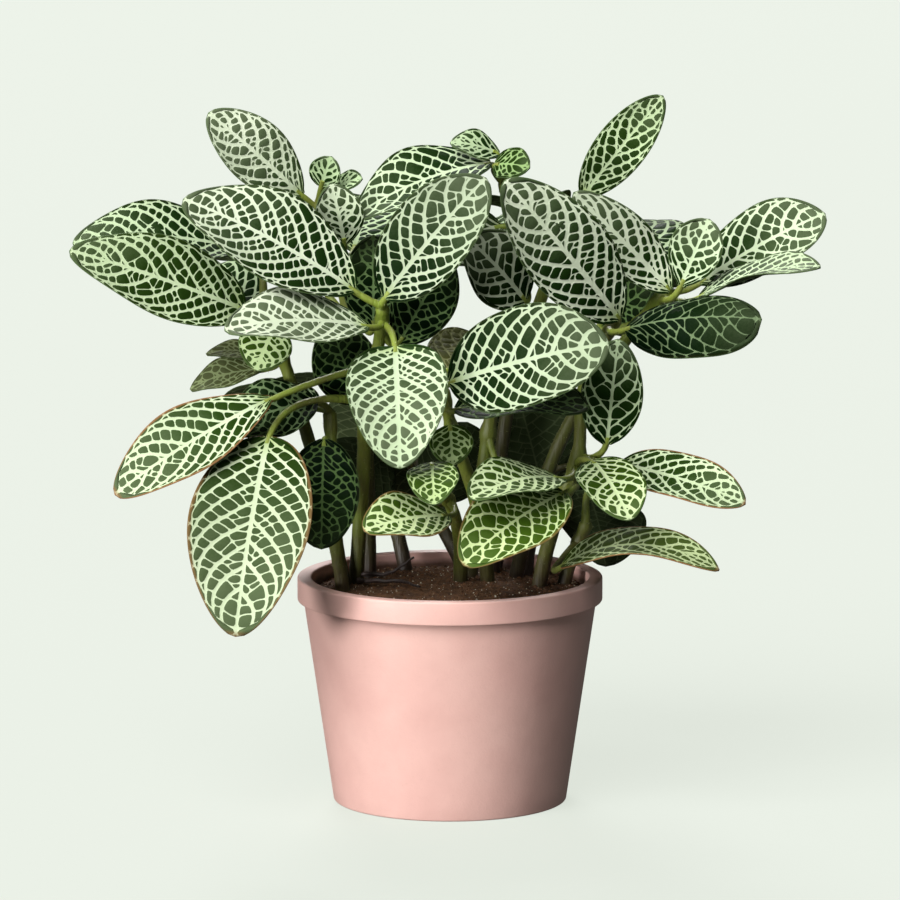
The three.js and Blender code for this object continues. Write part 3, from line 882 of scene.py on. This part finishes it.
# Bends a flat blade along its midrib, folds and waves its halves, and sets it in its place
def bladeForm():
    tree, given = newTree("bladeForm", [
        ("Chord", "Float", 0.05),
        ("Arch", "Float", 0.6),
        ("Fold", "Float", 0.2),
        ("Wave Height", "Float", 0.001),
        ("Waves Along", "Float", 1.5),
        ("Base", "Vector", None),
        ("Turn", "Vector", None),
        ("Finish", "Material", None),
    ])

    def c(operation, *inputs):
        return calc(tree, operation, *inputs)

    def by(first, second):
        return calc(tree, "MULTIPLY", first, second)

    s, t = field(tree, "along"), field(tree, "across")
    _, y, z = xyz(tree, position(tree))
    arch, halfArch = given["Arch"], by(given["Arch"], 0.5)
    folded = by(given["Fold"], by(c("ABSOLUTE", y), c("SQRT", c("ABSOLUTE", t))))
    phase = c("MULTIPLY_ADD", c("GREATER_THAN", t, 0.0), -0.35, 0.45)
    turns = c("ADD", by(given["Waves Along"], s), phase)
    wave = by(by(t, t), c("SINE", by(turns, 2 * math.pi)))
    raised = c("ADD", c("ADD", z, folded), by(given["Wave Height"], wave))
    # The midrib runs on an arc over the chord
    radius = c("DIVIDE", given["Chord"], by(c("SINE", halfArch), 2.0))
    slope = by(arch, c("SUBTRACT", 0.5, s))
    sine, cosine = c("SINE", slope), c("COSINE", slope)
    forward = by(radius, c("SUBTRACT", c("SINE", halfArch), sine))
    upward = by(radius, c("SUBTRACT", cosine, c("COSINE", halfArch)))
    x, high = c("SUBTRACT", forward, by(raised, sine)), c("ADD", upward, by(raised, cosine))
    bent = node(tree, "ShaderNodeCombineXYZ", {0: x, 1: y, 2: high}).outputs[0]
    inputs = {"Geometry": given["Geometry"], "Position": bent}
    formed = node(tree, "GeometryNodeSetPosition", inputs).outputs[0]
    inputs = {"Geometry": formed, "Translation": given["Base"], "Rotation": given["Turn"]}
    return endTree(tree, node(tree, "GeometryNodeTransform", inputs).outputs[0], given["Finish"])


def bladeMesh(leaf, tree, finish, seed):
    axes = Matrix(leaf["axes"]).transposed()
    return grown(flatBlade(leaf, random.Random(seed)), tree, {
        "Chord": leaf["chord"] * mm,
        "Arch": leaf["bend"],
        "Fold": float(leaf["fold"]),
        "Wave Height": leaf["waveShare"] * leaf["width"] * mm,
        "Waves Along": leaf["wavesAlong"],
        "Base": [c * mm for c in leaf["base"]],
        "Turn": list(axes.to_euler()),
        "Finish": finish,
    })


bladeColours = {
    # Near-black green, partly painted shade for leaves that stand in the plant's shaded middle
    "deepestAndShade": (0.002, 0.008, 0.002),
    "deep": (0.0055, 0.021, 0.0025),
    "fresh": (0.018, 0.045, 0.007),
    "young": (0.066, 0.128, 0.008),
    # Pale grey-green for the tips: painted sheen
    "tip": (0.094, 0.125, 0.064),
    "veinGreen": (0.19, 0.33, 0.10),
    "veinCream": (0.53, 0.635, 0.415),
    "veinWhite": (0.64, 0.70, 0.53),
    "veinYoung": (0.63, 0.74, 0.345),
    "foot": (0.30, 0.40, 0.10),
    "brown": (0.100, 0.104, 0.030),
    "brownVein": (0.24, 0.23, 0.10),
    "rimGreen": (0.070, 0.125, 0.045),
    "rimBrown": (0.270, 0.130, 0.055),
    "under": (0.080, 0.108, 0.045),
    "underVein": (0.200, 0.250, 0.120),
}


def bladeFinish():
    finish, tree, skin = newFinish("leafBlade", 0.5, 0.02)
    place, hue = objectPlace(tree), bladeColours

    def read(name):
        return stored(tree, name)

    def by(first, second):
        return calc(tree, "MULTIPLY", first, second)

    broad = remap(tree, speckle(tree, place, 42, 3), 0.3, 0.7)
    fine = speckle(tree, place, 900, 3, 0.6)
    along, across = read("along"), calc(tree, "ABSOLUTE", read("across"))
    cream, dark, young, age = read("cream"), read("dark"), read("young"), read("age")
    edge, under, vein = read("edge"), read("under"), read("vein")
    onVein = remap(tree, vein, 0.28, 0.78, smooth=True)
    # Cells go from deep green at the leaf's foot to a pale grey-green at its tip: painted sheen
    # where the leaf bends toward the light, over the leaf's own random tone
    lightness = plus(tree, by(broad, 0.45), by(read("tint"), 0.3))
    lightness = plus(tree, lightness, by(remap(tree, fine, 0.3, 0.7), 0.25))
    margin = remap(tree, across, 0.87, 0.96, smooth=True)
    # Each leaf's own share lifts its cells toward the pale tip colour: painted sheen, and painted
    # light on leaves that stand in shade
    sheenAndTone = calc(tree, "MULTIPLY_ADD", read("dull"), 0.7, along)
    sheenAndTone = calc(tree, "MULTIPLY_ADD", lightness, 0.4, sheenAndTone)
    sheenAndTone = calc(tree, "MULTIPLY_ADD", margin, -0.12, sheenAndTone)
    cell = layered(tree, hue["deep"], [
        (remap(tree, sheenAndTone, 0.35, 1.0), hue["fresh"]),
        (remap(tree, vein, -0.3, 0.1, 0.0, 0.25), hue["fresh"]),
        (remap(tree, sheenAndTone, 0.75, 1.4), hue["tip"]),
        # Painted shade: near-black on leaves that stand in the shaded middle, strongest at the foot
        (by(dark, remap(tree, sheenAndTone, 0.6, 1.3, 1.0, 0.3)), hue["deepestAndShade"]),
        (young, hue["young"]),
        (age, hue["brown"]),
    ])
    # Veins are greener at the foot, and on dark leaves they fade into painted shade
    line = layered(tree, hue["veinGreen"], [
        (cream, hue["veinCream"]),
        # Past 1, cream whitens the veins further: partly their own colour, partly painted light on
        # leaves that stand in shade
        (remap(tree, cream, 1.0, 2.0), hue["veinWhite"]),
        (by(young, 1.3), hue["veinYoung"]),
        (remap(tree, along, 0.0, 0.12, 0.75, 0.0), hue["foot"]),
        (by(broad, 0.25), hue["veinGreen"]),
        (by(calc(tree, "POWER", dark, 3.0), 0.6), hue["deep"]),
        (age, hue["brownVein"]),
    ])
    # A brown or green line along the margin
    brink = remap(tree, across, 0.92, 0.975, smooth=True)
    brink = calc(tree, "MAXIMUM", brink, remap(tree, along, 0.965, 0.99, smooth=True))
    onRim = remap(tree, read("rim"), 0.15, 0.9, smooth=True)
    top = layered(tree, cell, [
        (onVein, line),
        (by(by(brink, edge), 0.7), hue["rimBrown"]),
        (by(onRim, 0.85), mixColour(tree, edge, hue["rimGreen"], hue["rimBrown"])),
    ])
    below = layered(tree, hue["under"], [
        (by(onVein, 0.8), hue["underVein"]),
        # Dark leaves get the same painted shade on their undersides
        (by(dark, 0.7), hue["deepestAndShade"]),
        (by(age, 0.8), hue["brown"]),
    ])
    gloss = plus(tree, remap(tree, onVein, 0, 1, 0.42, 0.52), by(fine, 0.1))
    gloss = calc(tree, "MULTIPLY_ADD", under, 0.3, gloss)
    colour = mixColour(tree, remap(tree, under, 0.4, 0.6), top, below)
    dress(tree, skin, colour, gloss, bump=(0.35, 0.0003, fine))
    return finish


# Stems, petioles and bare roots, in millimetres
stemShape = {
    "rootRadius": 3.2,
    "topRadius": 2.1,
    "tipShare": 0.7,
    "buried": 16,
    "soilTop": 84.5,
    "knot": 0.32,
    "knotSpread": 2.6,
    "unevenness": 0.5,
    "step": 1.6,
    "sides": 14,
}
petioleShape = {"radii": (1.9, 1.35, 1.15), "intoBlade": 3, "step": 1.2}
rootShape = {"radii": (1.1, 0.45), "wriggle": 0.7, "wriggleEvery": 3.5, "step": 1.0}
hairShape = {"perSquareMetre": 90000, "length": 0.9, "thickness": 0.07, "lowest": 94, "tilt": 0.7}


# Catmull-Rom curve through the points, with the solids' own centripetal knots
def smoothPath(points, step):
    points = [Vector(p) for p in points]
    ends = [2 * points[0] - points[1], *points, 2 * points[-1] - points[-2]]
    line, shares = [], []
    for i in range(len(points) - 1):
        p = ends[i : i + 4]
        moves = [b - a for a, b in zip(p, p[1:])]
        gaps = [max(move.length ** 0.5, 1e-4) for move in moves]
        rates = [move / gap for move, gap in zip(moves, gaps)]
        slopeIn, slopeOut = (
            (rates[j] - (p[j + 2] - p[j]) / (gaps[j] + gaps[j + 1]) + rates[j + 1]) * gaps[1]
            for j in (0, 1)
        )
        pieces = max(2, math.ceil(moves[1].length / step))
        for k in range(pieces + (i == len(points) - 2)):
            u = k / pieces
            line.append(
                p[1] * (2 * u**3 - 3 * u**2 + 1) + slopeIn * (u**3 - 2 * u**2 + u)
                + p[2] * (3 * u**2 - 2 * u**3) + slopeOut * (u**3 - u**2)
            )
            shares.append((i + u) / (len(points) - 1))
    return line, shares


# Place on a curve with three handles, also used for rounded corners
def onCurve(start, handle, end, u):
    return start * (1 - u) ** 2 + handle * 2 * u * (1 - u) + end * u**2


def petioleLine(leaf, line, shares, path):
    share = (leaf["start"] * (len(path) - 1) + 1) / len(path)
    k = min(range(len(shares)), key=lambda i: abs(shares[i] - share))
    start, base = line[k], Vector(leaf["base"])
    along, _, up = leaf["axes"]
    lead = along * math.cos(leaf["bend"] / 2) + up * math.sin(leaf["bend"] / 2)
    handle = base - lead * 0.5 * (base - start).length
    end = base + lead * petioleShape["intoBlade"]
    steps = max(5, math.ceil((base - start).length / petioleShape["step"]))
    return [onCurve(start, handle, end, i / steps) for i in range(steps + 1)], k


# All the stalks of one leafy stem as bare lines, with a girth and a kind at each point: 0 on the
# stem, 0.3 to 1 along a petiole and -1 on a root
def stalkLines(stem, leaves):
    points, edges, girth, kind = [], [], [], []

    def line(places, radii, kinds):
        first = len(points)
        points.extend([c * mm for c in place] for place in places)
        edges.extend((first + i, first + i + 1) for i in range(len(places) - 1))
        girth.extend(r * mm for r in radii)
        kind.extend(kinds)

    p, path = stemShape, stem["path"]
    foot = (*path[0][:2], p["soilTop"] - p["buried"])
    axis, shares = smoothPath([foot, *path], p["step"])
    petioles = [petioleLine(leaf, axis, shares, path) for leaf in leaves]
    radii = []
    for place, share in zip(axis, shares):
        gaps = [(place - axis[k]).length / p["knotSpread"] for _, k in petioles]
        swell = 1 + p["knot"] * min(sum(math.exp(-(gap**2)) for gap in gaps), 1)
        radii.append(mixed(p["rootRadius"], p["topRadius"], share) * swell)
    radii[-1] *= p["tipShare"]
    line(axis, radii, [0.0] * len(axis))
    flare, middle, end = petioleShape["radii"]
    for places, _ in petioles:
        shares = [i / (len(places) - 1) for i in range(len(places))]
        radii = [mixed(mixed(flare, middle, min(1, 3 * u)), end, max(0, 2 * u - 1)) for u in shares]
        line(places, radii, [0.3 + 0.7 * u for u in shares])
    for root in stem.get("roots", []):
        p = rootShape
        places, shares = smoothPath(root, p["step"])
        turns = [Vector(noise.noise_vector(place / p["wriggleEvery"])) for place in places]
        places = [
            place + turn * p["wriggle"] * min(1, 3 * u)
            for place, turn, u in zip(places, turns, shares)
        ]
        line(places, [mixed(*p["radii"], u) for u in shares], [-1.0] * len(places))
    return meshFrom("stalks", points, [], {"girth": girth, "kind": kind}, edges)


# Round tapered stalks along their lines, with short hairs that stand off them
def stalkForm():
    tree, given = newTree("stalkForm", [
        ("Sides", "Int", 12),
        ("Unevenness", "Float", 0.0002),
        ("Hairs", "Float", 50000.0),
        ("Hair Length", "Float", 0.001),
        ("Hair Thickness", "Float", 0.00005),
        ("Seed", "Int", 1),
        ("Finish", "Material", None),
        ("Hair Finish", "Material", None),
    ])
    girth, kind, place = field(tree, "girth"), field(tree, "kind"), position(tree)
    curve = node(tree, "GeometryNodeMeshToCurve", {0: given["Geometry"]}).outputs[0]
    inputs = {"Curve": curve, "Radius": girth}
    curve = node(tree, "GeometryNodeSetCurveRadius", inputs).outputs[0]
    inputs = {"Resolution": given["Sides"], "Radius": 1.0}
    ring = node(tree, "GeometryNodeCurvePrimitiveCircle", inputs).outputs[0]
    inputs = {"Curve": curve, "Profile Curve": ring, "Fill Caps": True}
    sweep = node(tree, "GeometryNodeCurveToMesh", inputs)
    if "Scale" in sweep.inputs:
        tree.links.new(girth, sweep.inputs["Scale"])
    rough = calc(tree, "SUBTRACT", speckle(tree, place, 260.0), 0.5)
    outward = node(tree, "GeometryNodeInputNormal").outputs[0]
    offset = scaled(tree, outward, times(tree, rough, given["Unevenness"]))
    inputs = {"Geometry": sweep.outputs[0], "Offset": offset}
    tubes = node(tree, "GeometryNodeSetPosition", inputs).outputs[0]
    tubes = node(tree, "GeometryNodeSetShadeSmooth", {"Geometry": tubes}).outputs[0]
    tubes = finished(tree, tubes, given["Finish"])
    # Hairs only on what is above the soil and alive
    over = calc(tree, "GREATER_THAN", xyz(tree, place)[2], hairShape["lowest"] * mm)
    living = times(tree, over, calc(tree, "GREATER_THAN", kind, -0.5))
    spread = node(tree, "GeometryNodeDistributePointsOnFaces", {
        "Mesh": tubes, "Selection": living, "Density": given["Hairs"], "Seed": given["Seed"],
    })
    hair = node(tree, "GeometryNodeMeshCone", {
        "Vertices": 3, "Radius Bottom": given["Hair Thickness"], "Depth": given["Hair Length"],
    }).outputs[0]
    most = hairShape["tilt"]
    tilt = between(tree, (-most, -most, 0), (most, most, fullTurn))
    inputs = {0: spread.outputs["Rotation"], 1: tilt}
    turn = node(tree, "FunctionNodeRotateRotation", inputs, rotation_space="LOCAL").outputs[0]
    size = between(tree, 0.5, 1.2)
    hairs = strewn(tree, spread.outputs[0], hair, turn, size, given["Hair Finish"])
    return endTree(tree, together(tree, [hairs, tubes]))


stalkColours = {
    "green": (0.200, 0.275, 0.028),
    "young": (0.330, 0.450, 0.055),
    "olive": (0.150, 0.130, 0.038),
    # Brown for the stems' own woody foot, also used as painted shade on stems at the back
    "brown": (0.030, 0.016, 0.010),
    "root": (0.035, 0.022, 0.018),
    "hair": (0.52, 0.50, 0.36),
}


def stalkFinish():
    finish, tree, skin = newFinish("stalk", 0.5)
    place, hue, kind = objectPlace(tree), stalkColours, stored(tree, "kind")
    inputs = {"Vector": place, "Scale": (1.0, 1.0, 0.12)}
    streak = speckle(tree, node(tree, "ShaderNodeMapping", inputs).outputs[0], 900, 3)
    streak = remap(tree, streak, 0.3, 0.7)
    patch = remap(tree, speckle(tree, place, 70, 3), 0.35, 0.65)
    _, depth, height = xyz(tree, place)
    # Stems are brown at the soil; further up, those at the back are darkened to brown as painted
    # shade where the leaves above shade them
    old = plus(tree, remap(tree, height, 0.086, 0.112, 1.0, 0.0), times(tree, patch, 0.15))
    back = remap(tree, depth, 0.002, 0.022, 0.0, 0.8)
    back = times(tree, back, remap(tree, height, 0.150, 0.185, 1.0, 0.0))
    colour = layered(tree, hue["green"], [
        (remap(tree, kind, 0.4, 1.0), hue["young"]),
        (times(tree, patch, 0.55), hue["olive"]),
        (times(tree, old, 0.9), hue["brown"]),
        (times(tree, streak, 0.3), hue["olive"]),
        # Painted shade on the stems at the back
        (back, hue["brown"]),
        (remap(tree, kind, -0.2, -0.8), hue["root"]),
    ])
    dress(tree, skin, colour, bump=(0.5, 0.0004, streak))
    return finish


def hairFinish():
    finish, tree, skin = newFinish("stalkHair", 0.6)
    tone = speckle(tree, objectPlace(tree), 300)
    dress(tree, skin, mixColour(tree, tone, stalkColours["young"], stalkColours["hair"]))
    return finish


# Pot, turned round Z, in millimetres from the solid's own sizes
potShape = {
    "rimRadius": 60,
    "height": 89,
    "bandHeight": 9.2,
    "bandOverhang": 2.4,
    "bandWidth": 5.5,
    "lipDepth": 3,
    "bottomRadius": 45.9,
    "wall": 3.2,
    "floor": 4,
    "foot": [(0, 0), (16, 0), (17, 1.5), (35, 1.5), (36, 0)],
    "rounding": 0.7,
    "longest": 7,
    "around": 160,
    "nearSoilWithin": 54.9,
    "nearSoilOver": 81,
    "nearSoilFade": (84.5, 86.8),
}


# Softens each corner of a profile with a short arc
def rounded(profile, radius, pieces=4):
    points = [Vector(p) for p in profile]
    made = [points[0]]
    for before, corner, after in zip(points, points[1:], points[2:]):
        reach = min(radius, (before - corner).length / 2.2, (after - corner).length / 2.2)
        start = corner + (before - corner).normalized() * reach
        end = corner + (after - corner).normalized() * reach
        made += [onCurve(start, corner, end, i / pieces) for i in range(pieces + 1)]
    return [*made, points[-1]]


# Adds points on long straight runs, so that the faces stay near square
def evened(points, longest):
    made = [points[0]]
    for before, after in zip(points, points[1:]):
        pieces = max(1, math.ceil((after - before).length / longest))
        made += [before.lerp(after, i / pieces) for i in range(1, pieces + 1)]
    return made


def turned(name, profile, around, relief=None):
    points, faces, rings = [], [], []
    for r, z in profile:
        if r < 1e-6:
            rings.append([len(points)] * around)
            points.append((0, 0, z * mm))
            continue
        rings.append(list(range(len(points), len(points) + around)))
        for i in range(around):
            angle = 2 * math.pi * i / around
            x, y = r * math.cos(angle), r * math.sin(angle)
            lift = relief(x, y, z) if relief else 0
            points.append((x * mm, y * mm, (z + lift) * mm))
    for lower, upper in zip(rings, rings[1:]):
        for i in range(around):
            j = (i + 1) % around
            faces.append(list(dict.fromkeys([lower[i], lower[j], upper[j], upper[i]])))
    return meshFrom(name, points, faces)


def potMesh():
    p = potShape
    rim, height, bottom, wall = p["rimRadius"], p["height"], p["bottomRadius"], p["wall"]
    bodyTop, bandFoot = rim - p["bandOverhang"], height - p["bandHeight"]
    inner = rim - p["bandWidth"]
    profile = [
        *p["foot"], (bottom, 0), (bodyTop, bandFoot), (rim, bandFoot), (rim, height),
        (inner, height), (inner, height - p["lipDepth"]), (bodyTop - wall, bandFoot - 1),
        (bottom - wall, p["floor"]), (0, p["floor"]),
    ]
    return turned("pot", evened(rounded(profile, p["rounding"]), p["longest"]), p["around"])


potColours = {
    "clay": (0.720, 0.425, 0.370),
    "pale": (0.780, 0.485, 0.420),
    "dusky": (0.560, 0.310, 0.262),
    "nearSoil": (0.20, 0.11, 0.08),
}


def potFinish():
    finish, tree, skin = newFinish("potClay", 0.5)
    place, hue = objectPlace(tree), potColours
    cloud = remap(tree, speckle(tree, place, 26, 4, 0.6), 0.35, 0.68)
    patch = remap(tree, speckle(tree, place, 85, 3, 0.6), 0.4, 0.75)
    grain = speckle(tree, place, 1300, 2)
    # The inner wall goes dark brown just over the soil
    x, y, z = xyz(tree, place)
    radius = calc(tree, "SQRT", plus(tree, times(tree, x, x), times(tree, y, y)))
    inside = calc(tree, "LESS_THAN", radius, potShape["nearSoilWithin"] * mm)
    inside = times(tree, inside, calc(tree, "GREATER_THAN", z, potShape["nearSoilOver"] * mm))
    low, high = (height * mm for height in potShape["nearSoilFade"])
    nearSoil = remap(tree, plus(tree, z, times(tree, patch, 0.0012)), low, high, 1.0, 0.0)
    colour = layered(tree, hue["clay"], [
        (cloud, hue["pale"]),
        (times(tree, patch, 0.16), hue["dusky"]),
        (remap(tree, grain, 0.62, 0.8, 0.0, 0.25), hue["dusky"]),
        (times(tree, inside, nearSoil), hue["nearSoil"]),
    ])
    height = plus(tree, grain, times(tree, patch, 1.5))
    dress(tree, skin, colour, remap(tree, cloud, 0, 1, 0.44, 0.56), bump=(0.25, 0.0002, height))
    return finish


# Soil: a lumpy top, crumbs on it and small pale specks among them
soilShape = {
    "top": 84.5,
    "mound": 2.5,
    "level": 0.7,
    "edgeDrop": 1.5,
    "gap": 0.3,
    "shoulder": 78,
    "longest": 14,
    "around": 110,
    "rings": 34,
    "lump": 0.7,
    "lumpSizes": (7, 2.6),
    "lumpyOver": 83.05,
    "strewnOver": 82.9,
    "crumbs": 260000,
    "crumbSize": 0.85,
    "specks": 70000,
    "speckSize": 0.5,
    "seed": 7,
}


def soilMesh():
    p, pot = soilShape, potShape
    inside = pot["rimRadius"] - pot["bandOverhang"] - pot["wall"] - p["gap"]
    low, floor = pot["bottomRadius"] - pot["wall"] - p["gap"], pot["floor"] + p["gap"]
    edge, level, drop = inside + 0.1, p["level"], p["edgeDrop"]
    profile = [(0, floor), (low, floor), (inside, p["shoulder"]), (edge, p["top"] - drop)]
    # The top, from its lower edge in to the mound
    for i in range(1, p["rings"] + 1):
        share = 1 - i / p["rings"]
        rise = mixed(p["mound"], 0, min(1, share / level) ** 1.6)
        fall = drop * max(0, (share - level) / (1 - level)) ** 2
        profile.append((edge * share, p["top"] + rise - fall))

    def relief(x, y, z):
        if z < p["lumpyOver"]:
            return 0
        large, small = (noise.noise(Vector((x, y, 0)) / size) for size in p["lumpSizes"])
        return p["lump"] * (large + 0.6 * small)

    return turned("soil", evened([Vector(v) for v in profile], p["longest"]), p["around"], relief)


def crumbForm():
    tree, given = newTree("crumbForm", [
        ("Crumbs", "Float", 200000.0),
        ("Crumb Size", "Float", 0.001),
        ("Specks", "Float", 20000.0),
        ("Speck Size", "Float", 0.0004),
        ("Seed", "Int", 1),
        ("Finish", "Material", None),
        ("Speck Finish", "Material", None),
    ])
    height = xyz(tree, position(tree))[2]
    upper = calc(tree, "GREATER_THAN", height, soilShape["strewnOver"] * mm)
    parts = [finished(tree, given["Geometry"], given["Finish"])]
    for label, finish, seed in (("Crumb", "Finish", 1), ("Speck", "Speck Finish", 2)):
        spread = node(tree, "GeometryNodeDistributePointsOnFaces", {
            "Mesh": given["Geometry"], "Selection": upper, "Density": given[label + "s"],
            "Seed": plus(tree, given["Seed"], float(seed)),
        })
        inputs = {"Radius": given[label + " Size"], "Subdivisions": 1}
        ball = node(tree, "GeometryNodeMeshIcoSphere", inputs).outputs[0]
        squash = between(tree, (0.5, 0.6, 0.4), (1.3, 1.2, 0.9), seed + 5)
        size = scaled(tree, squash, between(tree, 0.3, 1.0, seed))
        turn = between(tree, (0, 0, 0), (fullTurn, fullTurn, fullTurn), seed + 9)
        parts.append(strewn(tree, spread.outputs[0], ball, turn, size, given[finish]))
    return endTree(tree, together(tree, parts))


soilColours = {
    "damp": (0.073, 0.033, 0.013),
    "dry": (0.225, 0.105, 0.045),
    "grain": (0.22, 0.13, 0.08),
    "speckDark": (0.30, 0.20, 0.11),
    "speckPale": (0.95, 0.88, 0.70),
}


def soilFinish():
    finish, tree, skin = newFinish("soil", 0.9)
    place, hue = objectPlace(tree), soilColours
    clump = remap(tree, speckle(tree, place, 300, 4, 0.7), 0.35, 0.7)
    grain = speckle(tree, place, 1500, 3, 0.7)
    colour = layered(tree, hue["damp"], [
        (clump, hue["dry"]),
        (remap(tree, grain, 0.6, 0.75, 0.0, 0.5), hue["grain"]),
    ])
    dress(tree, skin, colour, bump=(0.9, 0.0008, grain))
    return finish


def speckFinish():
    finish, tree, skin = newFinish("soilSpeck", 0.8)
    tone = remap(tree, speckle(tree, objectPlace(tree), 500), 0.35, 0.65)
    dress(tree, skin, mixColour(tree, tone, soilColours["speckDark"], soilColours["speckPale"]))
    return finish


# Stage, light and camera
stageLook = {
    "floorSize": 9,
    "floorColour": (0.10, 0.104, 0.098, 1),
    "floorShine": 0.1,
    "floorGlow": (0.650, 0.692, 0.622, 1),
    "skyColour": (0.95, 1.0, 0.96, 1),
    "skyStrength": 0.11,
}

# Each from an azimuth, with 270 the front, and an elevation
lights = {
    "key": {"from": (240, 46), "softness": 46, "strength": 4.1},
    "sideFill": {"from": (223, 5), "softness": 14, "strength": 2.2},
    "backFill": {"from": (98, 38), "softness": 20, "strength": 2.2},
}
cameraView = {"from": (270, 9), "distance": 2.5, "aim": 0.139, "lens": 255}


# Turns a lamp or a camera to look along the direction that it comes from
def aimed(thing, toward):
    thing.rotation_mode = "QUATERNION"
    thing.rotation_quaternion = toward.to_track_quat("Z", "Y")


def setStage():
    p, half = stageLook, stageLook["floorSize"]
    corners = [(-half, -half, 0), (half, -half, 0), (half, half, 0), (-half, half, 0)]
    floor = placed("floor", meshFrom("floor", corners, [(0, 1, 2, 3)]))
    finish, _, skin = newFinish("stageFloor", 0.9, p["floorShine"])
    skin.inputs["Base Color"].default_value = p["floorColour"]
    skin.inputs["Emission Color"].default_value = p["floorGlow"]
    skin.inputs["Emission Strength"].default_value = 1
    floor.data.materials.append(finish)
    floor.visible_diffuse = floor.visible_glossy = False

    world = bpy.data.worlds.new("studio")
    world.use_nodes = True
    sky = world.node_tree.nodes["Background"]
    sky.inputs["Color"].default_value = p["skyColour"]
    sky.inputs["Strength"].default_value = p["skyStrength"]
    bpy.context.scene.world = world

    for name, look in lights.items():
        light = bpy.data.lights.new(name, "SUN")
        light.energy = look["strength"]
        light.angle = math.radians(look["softness"])
        aimed(placed(name, light), pointing(*look["from"]))


def setCamera():
    p, back = cameraView, pointing(*cameraView["from"])
    data = bpy.data.cameras.new("camera")
    data.sensor_width, data.lens = 36, p["lens"]
    camera = placed("camera", data)
    camera.location = Vector((0, 0, p["aim"])) + back * p["distance"]
    aimed(camera, back)
    bpy.context.scene.camera = camera


setCamera()
setStage()
bpy.context.scene.view_settings.view_transform = "Standard"
print("stage, light and camera set")

newPiece("potTurned", [potMesh()], "pot").data.materials.append(potFinish())
print("pot turned")

soilTop = grown(soilMesh(), crumbForm(), {
    "Crumbs": float(soilShape["crumbs"]),
    "Crumb Size": soilShape["crumbSize"] * mm,
    "Specks": float(soilShape["specks"]),
    "Speck Size": soilShape["speckSize"] * mm,
    "Seed": soilShape["seed"],
    "Finish": soilFinish(),
    "Speck Finish": speckFinish(),
})
newPiece("soilCrumbly", [soilTop], "soil")
print("soil filled:", len(soilTop.polygons), "faces")

bladeTree, stalkTree = bladeForm(), stalkForm()
bladeSkin, stalkSkin, hairSkin = bladeFinish(), stalkFinish(), hairFinish()
for number, (name, stem) in enumerate(leafyStems.items()):
    solid = "leafy_stem_" + name
    leaves = [fullLeaf(entry) for entry in stem["leaves"]]
    blades = [
        bladeMesh(leaf, bladeTree, bladeSkin, 100 * number + i + 1) for i, leaf in enumerate(leaves)
    ]
    newPiece("leaves_" + name, blades, solid)
    stalks = grown(stalkLines(stem, leaves), stalkTree, {
        "Sides": stemShape["sides"],
        "Unevenness": stemShape["unevenness"] * mm,
        "Hairs": float(hairShape["perSquareMetre"]),
        "Hair Length": hairShape["length"] * mm,
        "Hair Thickness": hairShape["thickness"] * mm,
        "Seed": number + 1,
        "Finish": stalkSkin,
        "Hair Finish": hairSkin,
    })
    newPiece("stalks_" + name, [stalks], solid)
    print("leafy stem grown:", name, len(leaves), "leaves")
